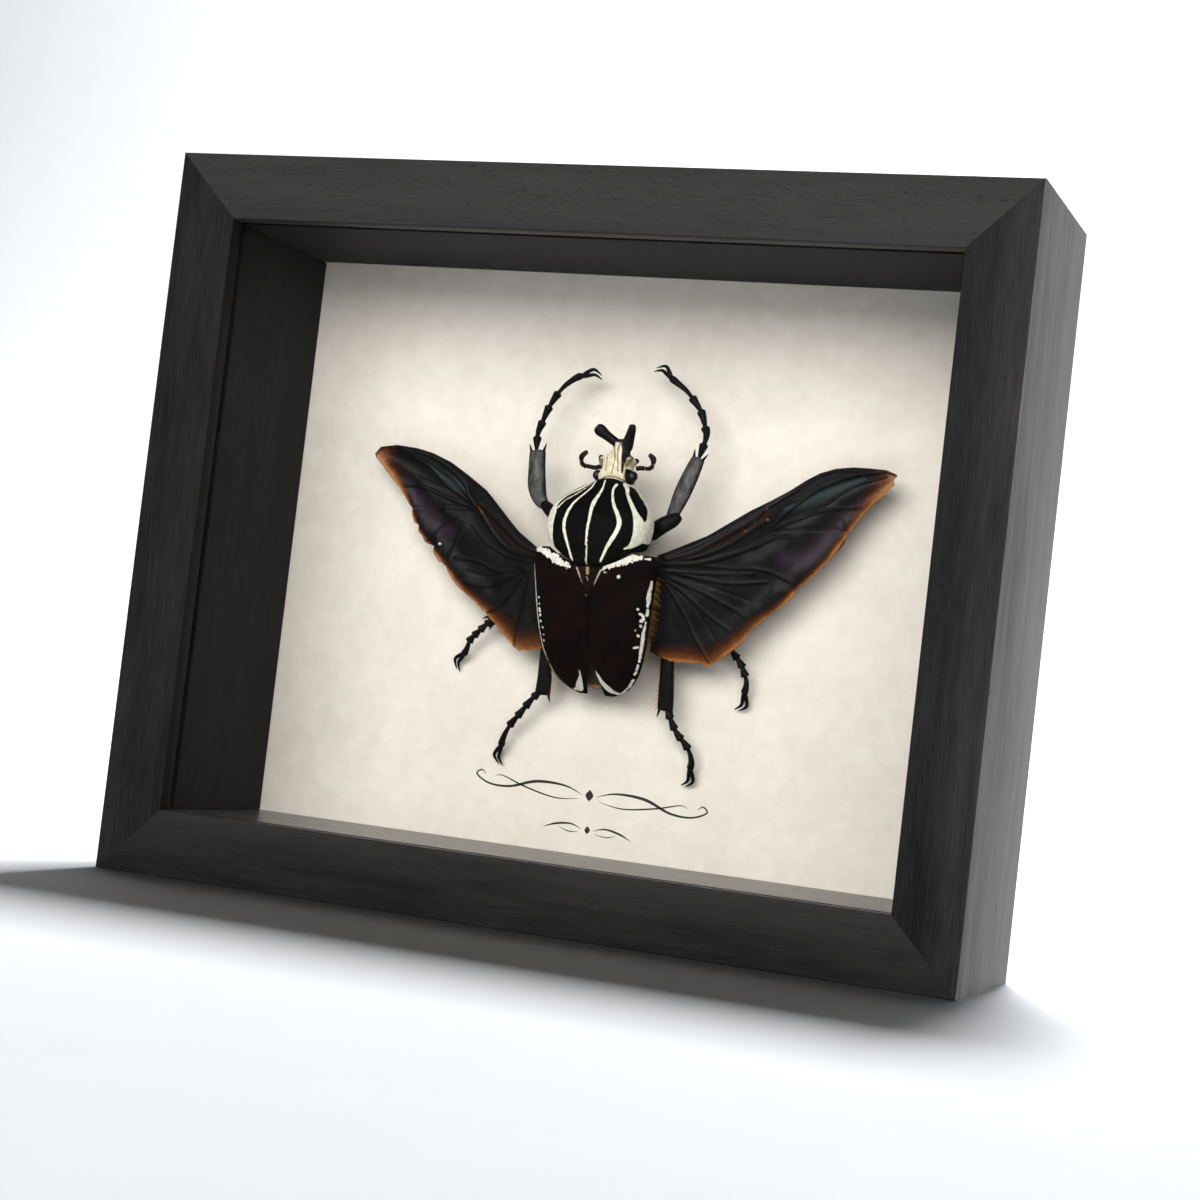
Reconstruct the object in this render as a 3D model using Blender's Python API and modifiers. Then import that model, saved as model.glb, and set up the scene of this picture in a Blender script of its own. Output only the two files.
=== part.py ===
"""A goliath beetle with its wings spread, pinned in a deep black shadow box frame.

Sizes are in millimetres and MM turns them into metres. The frame stands on its
bottom edge: X runs along its width, Z is up and the glass faces -Y. The origin is
under the middle of its bottom edge, halfway between the front of the frame and the
back of the hanger.
"""

import math

import bmesh
import bpy
from mathutils import Matrix, Vector

MM = 0.001
GAP = 0.3

# The frame: outer size, width of its bars seen from the front, lip and wall.
WIDTH = 280.0
HEIGHT = 232.0
DEPTH = 72.0
FACE = 21.0
LIP = 6.0
WALL = 13.0
HANGER_PROUD = 2.0
FRONT = -(DEPTH + HANGER_PROUD) / 2

# What lies behind the lip, each with its front face's depth behind the frame's front.
GLASS_THICK = 2.0
BOARD_FRONT = 65.5
BOARD_THICK = 2.5
PANEL_THICK = 2.0
PANEL_FRONT = BOARD_FRONT + BOARD_THICK + GAP
TAB_THICK = 0.5

# The beetle: its midline in X, and a small margin where one shell covers another.
MIDLINE = 2.3
SHELL_THICK = 0.9

# Colours of the parts, with roughness and metallic value.
FINISHES = {
    "black_wood": ((0.018, 0.017, 0.018), 0.55, 0.0),
    "glass": ((0.90, 0.93, 0.92), 0.05, 0.0),
    "black_paper": ((0.012, 0.012, 0.012), 0.80, 0.0),
    "cream_board": ((0.86, 0.81, 0.72), 0.85, 0.0),
    "brown_panel": ((0.25, 0.16, 0.09), 0.80, 0.0),
    "steel": ((0.55, 0.55, 0.54), 0.35, 1.0),
    "felt": ((0.02, 0.02, 0.02), 0.95, 0.0),
    "black_shell": ((0.010, 0.008, 0.008), 0.45, 0.0),
    "maroon_shell": ((0.022, 0.006, 0.006), 0.40, 0.0),
    "bone": ((0.62, 0.55, 0.38), 0.60, 0.0),
    "belly": ((0.03, 0.018, 0.012), 0.50, 0.0),
    "wing_membrane": ((0.020, 0.020, 0.019), 0.35, 0.0),
    "leg": ((0.015, 0.015, 0.015), 0.40, 0.0),
}


def clear_scene():
    for thing in list(bpy.data.objects):
        bpy.data.objects.remove(thing, do_unlink=True)


def make_collection(name):
    group = bpy.data.collections.new(name)
    bpy.context.scene.collection.children.link(group)
    return group


clear_scene()
SPECIMEN = make_collection("framed_goliath_beetle")
CUTTERS = make_collection("cutters")


def make_material(name):
    colour, roughness, metallic = FINISHES[name]
    material = bpy.data.materials.get(name)
    if material is None:
        material = bpy.data.materials.new(name)
        material.use_nodes = True
        shader = material.node_tree.nodes["Principled BSDF"]
        shader.inputs["Base Color"].default_value = (*colour, 1.0)
        shader.inputs["Roughness"].default_value = roughness
        shader.inputs["Metallic"].default_value = metallic
    return material


def add_part(name, data, finish):
    """A named part, from a mesh or a curve, with its material."""
    part = bpy.data.objects.new(name, data)
    data.materials.append(make_material(finish))
    SPECIMEN.objects.link(part)
    return part


def add_helper(name, data):
    """A shape that only cuts a part or is joined to one."""
    helper = bpy.data.objects.new(name, data)
    helper.hide_render = True
    helper.display_type = "WIRE"
    CUTTERS.objects.link(helper)
    return helper


def finish_mesh(name, shape, smooth=False):
    """The mesh of a bmesh, faces turned outwards."""
    bmesh.ops.recalc_face_normals(shape, faces=shape.faces)
    mesh = bpy.data.meshes.new(name)
    shape.to_mesh(mesh)
    shape.free()
    if smooth:
        mesh.shade_smooth()
        mesh.set_sharp_from_angle(angle=math.radians(40))
    return mesh


def boolean(part, helper, operation):
    """Cuts a helper out of a part, or joins it on."""
    change = part.modifiers.new(helper.name, "BOOLEAN")
    change.operation = operation
    change.solver = "EXACT"
    change.object = helper


def frame_point(x, depth, z):
    """A point by its depth behind the front of the frame."""
    return Vector((x, FRONT + depth, z)) * MM


def at(u, z, h):
    """A point of the beetle: u right of its midline, z above the base, h before the board."""
    return Vector((MIDLINE + u, FRONT + BOARD_FRONT - h, z)) * MM


# Plain boards, strips and plates.


def box_mesh(name, low, high):
    """A box between two corners given as (x, depth, z)."""
    a = frame_point(*low)
    b = frame_point(*high)
    shape = bmesh.new()
    place = Matrix.Translation((a + b) / 2) @ Matrix.Diagonal((*(b - a), 1.0))
    bmesh.ops.create_cube(shape, size=1.0, matrix=place)
    return finish_mesh(name, shape)


def round_bar_mesh(name, start, end, radius, sides=12):
    """A cylinder from one point to another."""
    shape = bmesh.new()
    axis = end - start
    turn = axis.to_track_quat("Z", "Y").to_matrix().to_4x4()
    place = Matrix.Translation((start + end) / 2) @ turn
    bmesh.ops.create_cone(
        shape, cap_ends=True, segments=sides, radius1=radius * MM, radius2=radius * MM,
        depth=axis.length, matrix=place,
    )
    return finish_mesh(name, shape, smooth=True)


def outline_plate(name, points, thick, place, finish):
    """A flat plate cut to an outline, drawn in XY and then placed by a matrix."""
    curve = bpy.data.curves.new(name, "CURVE")
    curve.dimensions = "2D"
    curve.fill_mode = "BOTH"
    curve.extrude = thick / 2 * MM
    spline = curve.splines.new("POLY")
    spline.points.add(len(points) - 1)
    for spot, (x, y) in zip(spline.points, points):
        spot.co = (x * MM, y * MM, 0.0, 1.0)
    spline.use_cyclic_u = True
    plate = add_part(name, curve, finish)
    plate.matrix_world = place
    return plate


# The frame.

BAR_PROFILE = [(0, 0), (FACE, 0), (FACE, LIP), (WALL, LIP), (WALL, DEPTH), (0, DEPTH)]
BAR_ROUNDED = [(0, 0), (FACE, 0), (FACE, LIP), (0, DEPTH)]
BAR_EDGE = 0.5


def frame_bar(name, length, across, turn):
    """One mitred bar, made along the bottom edge and turned about the frame's middle."""
    shape = bmesh.new()
    middle = Vector((0.0, 0.0, HEIGHT / 2 * MM))
    corners = []
    for inward, depth in BAR_PROFILE:
        z = HEIGHT / 2 - across / 2 + inward
        corners.append(shape.verts.new(frame_point(-1.0, depth, z)))
    face = shape.faces.new(corners)
    swept = bmesh.ops.extrude_face_region(shape, geom=[face])
    far = [v for v in swept["geom"] if isinstance(v, bmesh.types.BMVert)]
    bmesh.ops.translate(shape, verts=far, vec=(2.0 * MM, 0.0, 0.0))
    outer = (HEIGHT - across) / 2
    for vert in shape.verts:
        inward = vert.co.z / MM - outer
        reach = length / 2 - inward - GAP / math.sqrt(2)
        vert.co.x = math.copysign(reach * MM, vert.co.x)
    rounded = []
    for edge in shape.edges:
        a, b = edge.verts
        spot = (round(a.co.z / MM - outer, 1), round(a.co.y / MM - FRONT, 1))
        if abs(a.co.x - b.co.x) > 0.1 and spot in BAR_ROUNDED:
            rounded.append(edge)
    bmesh.ops.bevel(
        shape, geom=rounded, offset=BAR_EDGE * MM, segments=2, profile=0.5, affect="EDGES"
    )
    swing = Matrix.Rotation(math.radians(turn), 3, "Y")
    bmesh.ops.rotate(shape, cent=middle, matrix=swing, verts=shape.verts)
    return add_part(name, finish_mesh(name, shape), "black_wood")


def make_frame():
    bars = {}
    bars["bottom"] = frame_bar("frame_bottom", WIDTH, HEIGHT, 0)
    bars["left"] = frame_bar("frame_left", HEIGHT, WIDTH, 90)
    bars["top"] = frame_bar("frame_top", WIDTH, HEIGHT, 180)
    bars["right"] = frame_bar("frame_right", HEIGHT, WIDTH, 270)
    return bars


def make_glass():
    x = WIDTH / 2 - WALL - GAP
    low = (-x, LIP + GAP, WALL + GAP)
    high = (x, LIP + GAP + GLASS_THICK, HEIGHT - WALL - GAP)
    add_part("glass_pane", box_mesh("glass_pane", low, high), "glass")


def make_spacers():
    """Four black strips that hold the glass and the board apart, flush with the lip."""
    near = LIP + 2 * GAP + GLASS_THICK
    far = BOARD_FRONT - GAP
    outer_x = WIDTH / 2 - WALL - GAP
    inner_x = WIDTH / 2 - FACE
    low_z = WALL + GAP
    strips = {
        "spacer_bottom": ((-outer_x, near, low_z), (outer_x, far, FACE)),
        "spacer_top": ((-outer_x, near, HEIGHT - FACE), (outer_x, far, HEIGHT - low_z)),
        "spacer_left": ((-outer_x, near, FACE + GAP), (-inner_x, far, HEIGHT - FACE - GAP)),
        "spacer_right": ((inner_x, near, FACE + GAP), (outer_x, far, HEIGHT - FACE - GAP)),
    }
    for name, (low, high) in strips.items():
        add_part(name, box_mesh(name, low, high), "black_paper")


def make_board():
    x = WIDTH / 2 - WALL - GAP
    low_z = WALL + GAP
    high_z = HEIGHT - WALL - GAP
    low = (-x, BOARD_FRONT, low_z)
    high = (x, BOARD_FRONT + BOARD_THICK, high_z)
    board = add_part("mount_board", box_mesh("mount_board", low, high), "cream_board")
    low = (-x, PANEL_FRONT, low_z)
    high = (x, PANEL_FRONT + PANEL_THICK, high_z)
    add_part("back_panel", box_mesh("back_panel", low, high), "brown_panel")
    return board


TAB_WIDE = 7.0
TAB_OUTLINE = [(-5, -3.5), (6, -3.5), (9, -1.8), (9, 1.8), (6, 3.5), (-5, 3.5)]
TAB_SLOT_DEEP = 4.0
TAB_PLACES = (-0.27, 0.27)


def make_tab(name, bar, side, along):
    """A steel tab that lies on the back panel, its wide end pushed into a slot in the bar.

    side turns the tab from the bottom bar to its own, about the frame's middle.
    """
    depth = PANEL_FRONT + PANEL_THICK + GAP
    swing = Matrix.Rotation(math.radians(side), 4, "Y")
    across = HEIGHT if side % 180 == 0 else WIDTH
    length = WIDTH if side % 180 == 0 else HEIGHT
    middle = frame_point(0, 0, HEIGHT / 2)
    start = WALL + 2.0 - across / 2
    x = along * length
    upright = Matrix.Rotation(math.radians(90), 4, "X") @ Matrix.Rotation(math.radians(90), 4, "Z")
    spot = Matrix.Translation(Vector((x, depth + TAB_THICK / 2, start)) * MM)
    place = Matrix.Translation(middle) @ swing @ spot @ upright
    outline_plate(name, TAB_OUTLINE, TAB_THICK, place, "steel")
    low = Vector((x - TAB_WIDE / 2 - GAP, depth - GAP, start - 5 - GAP)) * MM
    high = Vector((x + TAB_WIDE / 2 + GAP, depth + TAB_THICK + GAP, start + 1)) * MM
    shape = bmesh.new()
    body = Matrix.Translation((low + high) / 2) @ Matrix.Diagonal((*(high - low), 1.0))
    bmesh.ops.create_cube(shape, size=1.0, matrix=Matrix.Translation(middle) @ swing @ body)
    slot = add_helper(name + "_slot", finish_mesh(name + "_slot", shape))
    boolean(bar, slot, "DIFFERENCE")


def make_tabs(bars):
    sides = {"bottom": 0, "left": 90, "top": 180, "right": 270}
    for side, turn in sides.items():
        for number, along in enumerate(TAB_PLACES, 1):
            make_tab(f"tab_{side}_{number}", bars[side], turn, along)


HANGER_HALF = 22.0
HANGER_THICK = 0.8
HANGER_LOW = HEIGHT - 11.0
HANGER_TALL = 8.5
HANGER_TEETH = 9
TOOTH_DEEP = 1.8
TOOTH_ARCH = 0.003
NAIL_SPOT = 18.5
NAIL_HEAD = 0.6


def make_hanger(top_bar):
    """A sawtooth hanger nailed across the back of the top bar."""
    step = (2 * NAIL_SPOT - 8) / HANGER_TEETH
    points = [(-HANGER_HALF, HANGER_TALL), (-HANGER_HALF, 0.8)]
    for notch in range(2 * HANGER_TEETH + 1):
        x = (notch / 2 - HANGER_TEETH / 2) * step
        cut = TOOTH_DEEP if notch % 2 else 0.0
        points.append((x, 1.9 + cut - TOOTH_ARCH * x * x))
    points += [(HANGER_HALF, 0.8), (HANGER_HALF, HANGER_TALL)]
    upright = Matrix.Rotation(math.radians(90), 4, "X")
    place = Matrix.Translation(frame_point(0, DEPTH + GAP + HANGER_THICK / 2, HANGER_LOW))
    hanger = outline_plate("sawtooth_hanger", points, HANGER_THICK, place @ upright, "steel")
    hanger = curve_to_mesh(hanger)
    for number, x in enumerate((-NAIL_SPOT, NAIL_SPOT), 1):
        make_nail(f"hanger_nail_{number}", x, hanger, top_bar)


def curve_to_mesh(curve_object):
    """The same part as a mesh with its caps welded, ready for a Boolean."""
    bpy.context.view_layer.update()
    graph = bpy.context.evaluated_depsgraph_get()
    mesh = bpy.data.meshes.new_from_object(curve_object.evaluated_get(graph))
    shape = bmesh.new()
    shape.from_mesh(mesh)
    bmesh.ops.remove_doubles(shape, verts=shape.verts, dist=0.00001)
    bmesh.ops.recalc_face_normals(shape, faces=shape.faces)
    shape.to_mesh(mesh)
    shape.free()
    name = curve_object.name
    group = curve_object.users_collection[0]
    place = curve_object.matrix_world.copy()
    bpy.data.objects.remove(curve_object, do_unlink=True)
    mesh.name = name
    part = bpy.data.objects.new(name, mesh)
    part.matrix_world = place
    group.objects.link(part)
    if group == CUTTERS:
        part.hide_render = True
        part.display_type = "WIRE"
    return part


def make_nail(name, x, hanger, top_bar):
    """A round headed nail through the hanger into the bar."""
    z = HANGER_LOW + 5.6
    face = DEPTH + 2 * GAP + HANGER_THICK
    shape = bmesh.new()
    for radius, near, far in ((0.7, DEPTH - 9.0, face + 0.2), (1.9, face, face + NAIL_HEAD)):
        middle = frame_point(x, (near + far) / 2, z)
        place = Matrix.Translation(middle) @ Matrix.Rotation(math.radians(90), 4, "X")
        bmesh.ops.create_cone(
            shape, cap_ends=True, segments=12, radius1=radius * MM, radius2=radius * MM,
            depth=(far - near) * MM, matrix=place,
        )
        if radius < 1:
            shank = add_helper(name + "_shank", finish_mesh(name + "_shank", shape))
            shape = bmesh.new()
    nail = add_part(name, finish_mesh(name, shape), "steel")
    boolean(nail, shank, "UNION")
    start = frame_point(x, DEPTH - 9.5, z)
    end = frame_point(x, face + 2, z)
    hole = add_helper(name + "_hole", round_bar_mesh(name + "_hole", start, end, 1.0))
    boolean(hanger, hole, "DIFFERENCE")
    boolean(top_bar, hole, "DIFFERENCE")


BUMPER_RADIUS = 4.5
BUMPER_FROM_SIDE = 24.0


def make_bumpers():
    """Two felt dots that keep the bottom of the frame as far from a wall as the hanger does."""
    for name, side in (("bumper_left", -1), ("bumper_right", 1)):
        x = side * (WIDTH / 2 - BUMPER_FROM_SIDE)
        start = frame_point(x, DEPTH + GAP, WALL / 2)
        end = frame_point(x, DEPTH + HANGER_PROUD, WALL / 2)
        add_part(name, round_bar_mesh(name, start, end, BUMPER_RADIUS, sides=20), "felt")


# Shapes that the beetle is made of.


def blend_points(points, spans):
    """Points read from a smooth curve through the given ones, spans to each stretch."""
    result = []
    last = len(points) - 1
    for index in range(last):
        p0 = points[max(index - 1, 0)]
        p1 = points[index]
        p2 = points[index + 1]
        p3 = points[min(index + 2, last)]
        for step in range(spans):
            t = step / spans
            result.append(tuple(
                0.5 * (2 * b + (c - a) * t + (2 * a - 5 * b + 4 * c - d) * t * t
                       + (3 * b - a - 3 * c + d) * t ** 3)
                for a, b, c, d in zip(p0, p1, p2, p3)
            ))
    result.append(tuple(points[last]))
    return result


def read_along(points, share):
    """The point that lies a share of the way along a line of points."""
    lengths = [math.dist(a[:3], b[:3]) for a, b in zip(points, points[1:])]
    left = share * sum(lengths)
    for length, a, b in zip(lengths, points, points[1:]):
        if left <= length:
            t = left / length
            return tuple(p + (q - p) * t for p, q in zip(a, b))
        left -= length
    return tuple(points[-1])


def read_table(table, z):
    """A value between the rows of a table of (z, value), which runs down from its top."""
    if z >= table[0][0]:
        return table[0][1]
    for (z1, v1), (z2, v2) in zip(table, table[1:]):
        if z >= z2:
            return v1 + (v2 - v1) * (z1 - z) / (z1 - z2)
    return table[-1][1]


def rings_mesh(name, rings):
    """A closed body through rings of equally many points, its ends closed flat."""
    shape = bmesh.new()
    loops = [[shape.verts.new(point) for point in ring] for ring in rings]
    count = len(loops[0])
    for near, far in zip(loops, loops[1:]):
        for i in range(count):
            j = (i + 1) % count
            shape.faces.new((near[i], near[j], far[j], far[i]))
    for loop in (loops[0], loops[-1]):
        middle = sum((v.co for v in loop), Vector()) / count
        centre = shape.verts.new(middle)
        for i in range(count):
            shape.faces.new((loop[i], loop[(i + 1) % count], centre))
    return finish_mesh(name, shape, smooth=True)


def soft_power(value, power):
    return math.copysign(abs(value) ** (2 / power), value)


def body_ring(ring, grow=0.0, sides=18, power=2.5):
    """A section of a body across its midline.

    ring is (z, centre, half width, low, widest, high, bow), the heights being measured
    from the board. bow moves the top of the ring along the body.
    """
    z, centre, half, low, widest, high, bow = ring
    points = []
    for step in range(sides):
        turn = 2 * math.pi * step / sides
        across = soft_power(math.cos(turn), power)
        rise = soft_power(math.sin(turn), power)
        reach = (high - widest if rise > 0 else widest - low) + grow
        shift = bow * max(rise, 0.0) * (1 - abs(across) ** 2.2)
        points.append(at(centre + across * (half + grow), z + shift, widest + rise * reach))
    return points


def limb_ring(here, before, after, sides):
    """An oval section of a limb, square to its run. here is (u, z, h, half width, half height)."""
    run = (at(*after[:3]) - at(*before[:3])).normalized()
    side = run.cross(Vector((0.0, 1.0, 0.0))).normalized()
    rise = side.cross(run).normalized()
    points = []
    for step in range(sides):
        turn = 2 * math.pi * (step + 0.5) / sides
        offset = side * (math.cos(turn) * here[3]) + rise * (math.sin(turn) * here[4])
        points.append(at(*here[:3]) + offset * MM)
    return points


def limb_mesh(name, stations, spans=2, sides=8):
    """A tapering limb through stations of (u, z, h, half width, half height)."""
    line = blend_points(stations, spans)
    last = len(line) - 1
    rings = []
    for index, here in enumerate(line):
        rings.append(limb_ring(here, line[max(index - 1, 0)], line[min(index + 1, last)], sides))
    return rings_mesh(name, rings)


def tube_helper(name, stations):
    """A round tapering tube through (u, z, h, radius), as a mesh ready to be joined on."""
    curve = bpy.data.curves.new(name, "CURVE")
    curve.dimensions = "3D"
    curve.bevel_depth = MM
    curve.bevel_resolution = 1
    curve.use_fill_caps = True
    spline = curve.splines.new("POLY")
    spline.points.add(len(stations) - 1)
    for spot, (u, z, h, radius) in zip(spline.points, stations):
        spot.co = (*at(u, z, h), 1.0)
        spot.radius = radius
    return curve_to_mesh(add_helper(name, curve))


def tube_part(name, stations, finish):
    """A tube that is a part of its own."""
    helper = tube_helper(name + "_line", stations)
    mesh = helper.data
    bpy.data.objects.remove(helper, do_unlink=True)
    mesh.name = name
    return add_part(name, mesh, finish)


def ball_mesh(name, centre, radius, segments=10, rings=6):
    shape = bmesh.new()
    place = Matrix.Translation(centre)
    bmesh.ops.create_uvsphere(
        shape, u_segments=segments, v_segments=rings, radius=radius * MM, matrix=place
    )
    return finish_mesh(name, shape, smooth=True)


def sheet_part(name, rows, thick, finish, edge_rows=0):
    """An open grid of points made into a shell. The first rows keep all of the thickness
    where edge_rows is given, and the rest is a third of it."""
    shape = bmesh.new()
    grid = [[shape.verts.new(point) for point in row] for row in rows]
    for near, far in zip(grid, grid[1:]):
        for a, b, c, d in zip(near, near[1:], far[1:], far):
            shape.faces.new((a, b, c, d))
    shape.normal_update()
    if sum(face.normal.y for face in shape.faces) > 0:
        bmesh.ops.reverse_faces(shape, faces=shape.faces)
    mesh = bpy.data.meshes.new(name)
    shape.to_mesh(mesh)
    shape.free()
    mesh.shade_smooth()
    part = add_part(name, mesh, finish)
    shell = part.modifiers.new("shell", "SOLIDIFY")
    shell.thickness = thick * MM
    shell.offset = -1.0
    if edge_rows:
        group = part.vertex_groups.new(name="thick_edge")
        group.add(list(range(edge_rows * len(rows[0]))), 1.0, "REPLACE")
        shell.vertex_group = group.name
        shell.thickness_vertex_group = 0.33
    return part


# The beetle's body.

# Each ring: z, centre, half width, low, widest and high above the board, bow.
PRONOTUM_RINGS = [
    (141.2, 0.6, 6.2, 12.0, 18.5, 21.4, 0.0),
    (139.6, 0.4, 8.6, 10.5, 19.6, 23.4, 0.0),
    (137.0, 0.2, 11.4, 8.5, 20.8, 26.0, 0.0),
    (133.8, 0.0, 14.9, 6.5, 22.0, 28.8, 0.0),
    (130.3, 0.0, 17.0, 5.0, 22.8, 31.2, 0.0),
    (126.3, 0.0, 17.5, 4.0, 23.2, 32.9, -0.8),
    (122.6, 0.0, 17.0, 4.0, 23.4, 33.2, -3.2),
    (120.4, 0.0, 16.2, 4.6, 23.4, 32.3, -6.2),
    (119.9, 0.0, 15.6, 5.2, 23.2, 31.0, -6.8),
]
PRONOTUM_SIDES = 20


def make_pronotum():
    rings = [body_ring(ring, sides=PRONOTUM_SIDES) for ring in PRONOTUM_RINGS]
    return add_part("pronotum", rings_mesh("pronotum", rings), "black_shell")


# Down the body: height of the elytra along the seam, at their outer edge, and their width.
SEAM_HEIGHT = [
    (118, 31.0), (112, 30.2), (104, 28.4), (95, 25.4), (87, 21.8), (79, 16.2), (73, 10.4)
]
EDGE_HEIGHT = [(118, 20.0), (102, 18.4), (90, 15.2), (80, 11.6), (73, 9.4)]
ELYTRA_WIDTH = [
    (118, 20.2), (115, 21.5), (111, 21.4), (106, 20.7), (101, 20.0), (96, 19.2), (91, 18.2),
    (86, 16.8), (82, 15.4), (79, 13.9), (76.5, 12.0), (74.8, 9.8), (73.6, 7.4), (73.1, 6.0)
]
ELYTRA_ACROSS = (0.0, 0.18, 0.38, 0.58, 0.75, 0.88, 0.96, 1.0)
ELYTRA_SECTION = 3.0
APEX_SPREAD_FROM = 88.0
APEX_SPREAD = 3.0
APEX = 73.1
SCUTELLUM_TOP = 112.6
SCUTELLUM_TIP = 103.4
SCUTELLUM_HALF = 4.6
BASE_EDGE = 112.7
BASE_GAP = 0.6
SHOULDER = 118.0


def rear_edge(u):
    """Where the back of the pronotum lies, u from the midline."""
    return BASE_EDGE + 7.3 * (abs(u) / 16) ** 1.6


def seam_side(z):
    """How far the inner edge of an elytron lies from the midline."""
    beside = max(0.0, (z - SCUTELLUM_TIP) / (SCUTELLUM_TOP - SCUTELLUM_TIP))
    spread = max(0.0, (APEX_SPREAD_FROM - z) / (APEX_SPREAD_FROM - APEX))
    return GAP / 2 + beside * (SCUTELLUM_HALF + GAP) + APEX_SPREAD * spread ** 1.5


def elytron_rows(side):
    rows = []
    for z, outer in ELYTRA_WIDTH:
        seam = read_table(SEAM_HEIGHT, z)
        edge = read_table(EDGE_HEIGHT, z)
        near_base = max(0.0, (z - 100) / (SHOULDER - 100)) ** 2
        pulled = (rear_edge(SCUTELLUM_HALF) - BASE_GAP - SHOULDER) * near_base
        inner = seam_side(min(z + pulled, SCUTELLUM_TOP))
        row = []
        for share in ELYTRA_ACROSS:
            u = inner + (outer - inner) * share
            rise = (1 - share ** ELYTRA_SECTION) ** 0.5
            base = min(rear_edge(u) - BASE_GAP, SHOULDER)
            row.append(at(side * u, z + (base - SHOULDER) * near_base, edge + (seam - edge) * rise))
        rows.append(row)
    return rows


def make_elytra():
    parts = []
    for name, side in (("elytron_left", -1), ("elytron_right", 1)):
        parts.append(sheet_part(name, elytron_rows(side), SHELL_THICK, "maroon_shell"))
    return parts


def make_scutellum():
    """The small plate between the roots of the elytra."""
    rows = []
    steps = 5
    for step in range(steps + 1):
        share = step / steps
        z = SCUTELLUM_TOP - (SCUTELLUM_TOP - SCUTELLUM_TIP - 1.0) * share
        half = SCUTELLUM_HALF * (1 - 0.88 * share)
        h = read_table(SEAM_HEIGHT, z) + 0.1
        rows.append([at(half * t, z - 0.5 * t * t * (1 - share), h - 0.4 * t * t)
                     for t in (-1.0, -0.5, 0.0, 0.5, 1.0)])
    sheet_part("scutellum", rows, 0.8, "maroon_shell")


TRUNK_UNDER = 1.35
TRUNK_RINGS = [
    (117.6, 0.0, 13.5, 3.0, 12.0, 16.6, 0.0),
    (116.4, 0.0, 16.2, 1.0, 15.5, 20.2, 0.0),
    (112.0, 0.0, 16.5, 0.5, 17.0, 30.2 - TRUNK_UNDER, 0.0),
    (104.0, 0.0, 16.5, 0.5, 16.8, 28.4 - TRUNK_UNDER, 0.0),
    (95.0, 0.0, 16.2, 0.8, 14.0, 25.4 - TRUNK_UNDER, 0.0),
    (87.0, 0.0, 14.6, 1.4, 11.5, 21.6 - TRUNK_UNDER, 0.0),
    (80.0, 0.0, 10.8, 2.6, 9.0, 16.6 - TRUNK_UNDER, 0.0),
    (76.4, 0.0, 7.0, 4.0, 8.0, 12.6 - TRUNK_UNDER, 0.0),
    (74.9, 0.0, 3.4, 5.4, 7.6, 9.8 - TRUNK_UNDER, 0.0),
]


def make_trunk():
    """The underside: the middle and hind thorax with the abdomen."""
    rings = [body_ring(ring) for ring in TRUNK_RINGS]
    return add_part("thorax_and_abdomen", rings_mesh("thorax_and_abdomen", rings), "belly")


HEAD_RINGS = [
    (141.6, 0.6, 6.0, 12.0, 16.0, 20.0, 0.0),
    (143.4, 0.6, 6.2, 12.0, 16.0, 20.2, 0.0),
    (146.0, 0.7, 5.0, 12.2, 16.0, 19.8, 0.0),
    (148.6, 0.8, 5.4, 12.8, 15.4, 19.2, 0.0),
    (150.0, 0.8, 4.2, 13.4, 15.4, 18.6, 0.0),
    (151.0, 0.8, 2.6, 14.2, 15.6, 18.0, 0.0),
]
HORN_STEM = [
    (0.7, 145.5, 17.0, 3.0, 2.0), (0.7, 148.5, 17.2, 3.1, 2.0), (0.8, 151.0, 17.6, 2.9, 1.8),
    (0.9, 153.4, 18.0, 3.1, 1.6)
]
HORN_LEFT = [
    (0.6, 151.6, 17.6, 1.2, 1.1), (-1.7, 153.7, 18.6, 1.3, 1.2), (-3.7, 156.0, 20.0, 1.7, 1.4),
    (-4.9, 157.3, 20.8, 1.7, 1.4), (-5.4, 157.9, 21.1, 1.1, 0.9)
]
HORN_RIGHT = [
    (1.4, 151.4, 17.6, 1.3, 1.1), (3.1, 153.8, 18.6, 1.2, 1.2), (4.8, 156.2, 20.0, 1.2, 1.2),
    (5.6, 158.2, 20.9, 1.3, 1.2), (5.8, 159.1, 21.3, 0.8, 0.7)
]
CHEEK_LEFT = [(-3.6, 147.2, 15.8, 1.5, 1.3), (-5.8, 149.4, 15.2, 0.9, 0.8), (-6.3, 151.0, 15.0, 0.4, 0.4)]
CHEEK_RIGHT = [(4.8, 147.2, 15.8, 1.5, 1.3), (6.6, 148.8, 15.2, 0.9, 0.8), (7.3, 150.2, 15.0, 0.4, 0.4)]
EYES = {"eye_left": (-5.4, 143.6, 16.6), "eye_right": (6.6, 143.2, 16.6)}
EYE_RADIUS = 1.7


def make_head():
    """The head with its forked horn, cheeks and eyes, all grown together."""
    rings = [body_ring(ring, sides=14, power=2.2) for ring in HEAD_RINGS]
    head = add_part("head", rings_mesh("head", rings), "bone")
    for name, stations in (
        ("horn_stem", HORN_STEM), ("horn_left", HORN_LEFT), ("horn_right", HORN_RIGHT),
        ("cheek_left", CHEEK_LEFT), ("cheek_right", CHEEK_RIGHT),
    ):
        boolean(head, add_helper(name, limb_mesh(name, stations, spans=1)), "UNION")
    for name, spot in EYES.items():
        boolean(head, add_helper(name, ball_mesh(name, at(*spot), EYE_RADIUS)), "UNION")
    return head


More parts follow.
